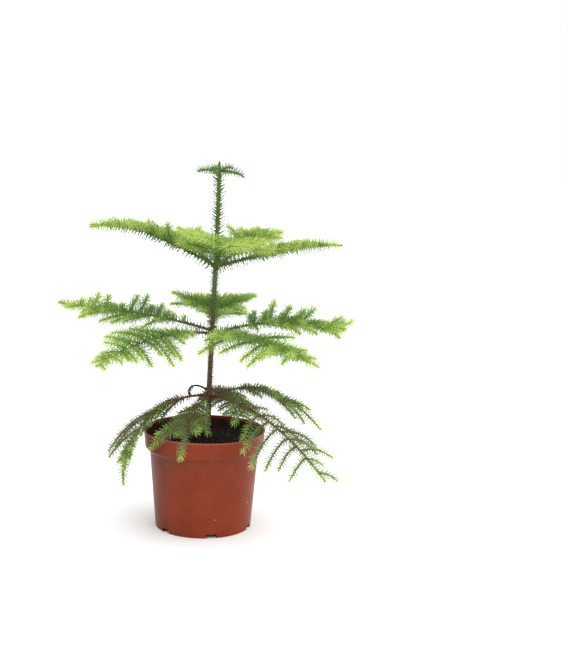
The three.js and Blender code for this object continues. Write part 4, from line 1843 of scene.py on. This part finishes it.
def whorls() -> tuple[Whorl, ...]:
    """The three whorls, from the drooping lowest to the youngest.

    Returns:
        The whorls.
    """
    lower = Whorl(
        "lower", 139.0, TwigHabit(34.0, 0.45, 0.6, 0.8), LOWER_BOUGHS,
        vigour=Vigour(LOWER_GREENS, 0.45, 0.5, 1.8, 2.6, 12.0),
        twig_needles=NeedleHabit(7.2, 0.48, 82.0, 50.0, 0.1, 5.0),
        limb_needles=NeedleHabit(7.2, 0.48, 82.0, 50.0, 0.1, 5.0),
        bare_needles=NeedleHabit(5.6, 1.20, 82.0, 54.0, 0.0, 0.1),
        bark=BarkFinish(
            "lower_bough_bark", (0.120, 0.060, 0.035), (0.130, 0.070, 0.038), (0.130, 0.070, 0.038)
        ),
        bark_slot="bough_bark",
        limb_tints=((0.75, Tint.WOODY), (1.0, Tint.OLIVE)),
        twig_tint=Tint.OLIVE,
    )
    middle = Whorl(
        "middle", 209.0, TwigHabit(34.0, 0.4, 1.0, 0.8), MIDDLE_BOUGHS,
        vigour=Vigour(UPPER_GREENS, 0.9, 0.3, 1.1, 2.2, 12.0, 0.9),
        twig_needles=NeedleHabit(),
        limb_needles=NeedleHabit(8.0, 0.55, 84.0, 56.0, 0.1, 6.0),
        bare_needles=NeedleHabit(8.6, 0.55, 86.0, 66.0, 0.0, 0.1),
        bark=BarkFinish(
            "middle_bough_bark", (0.130, 0.070, 0.038), (0.150, 0.085, 0.044), (0.140, 0.090, 0.042)
        ),
        bark_slot="bough_bark",
        limb_tints=((0.30, Tint.WOODY), (0.6, Tint.OLIVE), (1.0, Tint.GREEN)),
        twig_tint=Tint.GREEN,
    )
    upper = Whorl(
        "upper", 278.0, TwigHabit(18.0, 0.35, 1.0, 0.8), UPPER_BOUGHS,
        vigour=Vigour(UPPER_GREENS, 1.1, 0.2, 1.4, 2.1, 14.0, 0.9),
        twig_needles=NeedleHabit(),
        limb_needles=NeedleHabit(10.0, 0.45, 88.0, 66.0, 0.0, 2.5),
        bare_needles=NeedleHabit(10.4, 0.60, 88.0, 76.0, 0.0, 0.1),
        bark=BarkFinish(
            "upper_bough_bark", (0.110, 0.120, 0.040), (0.110, 0.120, 0.040), (0.095, 0.130, 0.040)
        ),
        bark_slot="green_bark",
        limb_tints=((0.35, Tint.OLIVE), (1.0, Tint.GREEN)),
        twig_tint=Tint.GREEN,
        bare_needles_from=0.1,
        tip_gap=1.5,
    )
    return lower, middle, upper


@dataclass(frozen=True)
class Studio:
    """A white floor, soft light from all round, and a camera where the photograph was taken."""

    place: Trio = (0.0, -1.326, 0.438)
    yaw: float = 3.54
    pitch: float = -9.36
    roll: float = 1.49
    lens: float = 70.67
    sensor: float = 36.0
    floor_radius: float = 8.0
    floor_sides: int = 64
    floor_tone: Trio = (0.96, 0.96, 0.96)
    world: float = 1.0
    overhead: float = 2.0
    softness: float = 95.0
    shining: Trio = (-0.42, 0.25, -1.0)

    def build(self) -> None:
        """Sets up floor, light and camera."""
        self.build_floor()
        self.build_light()
        self.build_camera()
        bpy.context.scene.view_settings.view_transform = "Standard"

    def build_floor(self) -> None:
        """Lays a round white floor, just under the pot."""
        turn = around(self.floor_sides)
        rim = np.stack([np.cos(turn), np.sin(turn), np.zeros_like(turn)], axis=-1) * self.floor_radius
        mesh = bpy.data.meshes.new("floor")
        mesh.from_pydata(rim.tolist(), [], [list(range(self.floor_sides))])
        mesh.materials.append(Recipe("floor_white").finish(self.floor_tone, roughness=0.9, gloss=0.1))
        floor = bpy.data.objects.new("floor", mesh)
        bpy.context.scene.collection.objects.link(floor)

    def build_light(self) -> None:
        """Lights the plant from a white sky and a broad soft light overhead."""
        sky = bpy.data.worlds.new("white_sky")
        sky.use_nodes = True
        background = sky.node_tree.nodes["Background"]
        background.inputs["Color"].default_value = (1.0, 1.0, 1.0, 1.0)
        background.inputs["Strength"].default_value = self.world
        bpy.context.scene.world = sky
        light = bpy.data.lights.new("overhead_light", "SUN")
        light.energy = self.overhead
        light.angle = math.radians(self.softness)
        lamp = bpy.data.objects.new("overhead_light", light)
        lamp.rotation_euler = Vector(self.shining).to_track_quat("-Z", "Y").to_euler()
        bpy.context.scene.collection.objects.link(lamp)

    def build_camera(self) -> None:
        """Sets the camera: yaw and pitch give its view, roll turns it about that."""
        yaw, pitch, roll = (math.radians(angle) for angle in (self.yaw, self.pitch, self.roll))
        ahead = Vector((math.sin(yaw) * math.cos(pitch), math.cos(yaw) * math.cos(pitch), math.sin(pitch)))
        level = Vector((math.cos(yaw), -math.sin(yaw), 0.0))
        raised = level.cross(ahead)
        right = math.cos(roll) * level + math.sin(roll) * raised
        top = math.cos(roll) * raised - math.sin(roll) * level
        data = bpy.data.cameras.new("camera")
        data.lens = self.lens
        data.sensor_width = self.sensor
        camera = bpy.data.objects.new("camera", data)
        facing = Matrix((right, top, -ahead)).transposed().to_4x4()
        camera.matrix_world = Matrix.Translation(self.place) @ facing
        bpy.context.scene.collection.objects.link(camera)
        bpy.context.scene.camera = camera


def main() -> None:
    """Loads the frame and builds every sub-assembly on it."""
    logging.basicConfig(level=logging.INFO, format="%(message)s")
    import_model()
    for part in (Studio(), Pot(), Soil(), Stem()):
        part.build()
    tiers = whorls()
    for whorl in tiers:
        whorl.build()
    youngest = tiers[-1]
    Leader().build([youngest.line(index) for index in range(len(youngest.boughs))])
    DryCurl().build()
    bpy.context.view_layer.update()


if __name__ == "__main__":
    main()
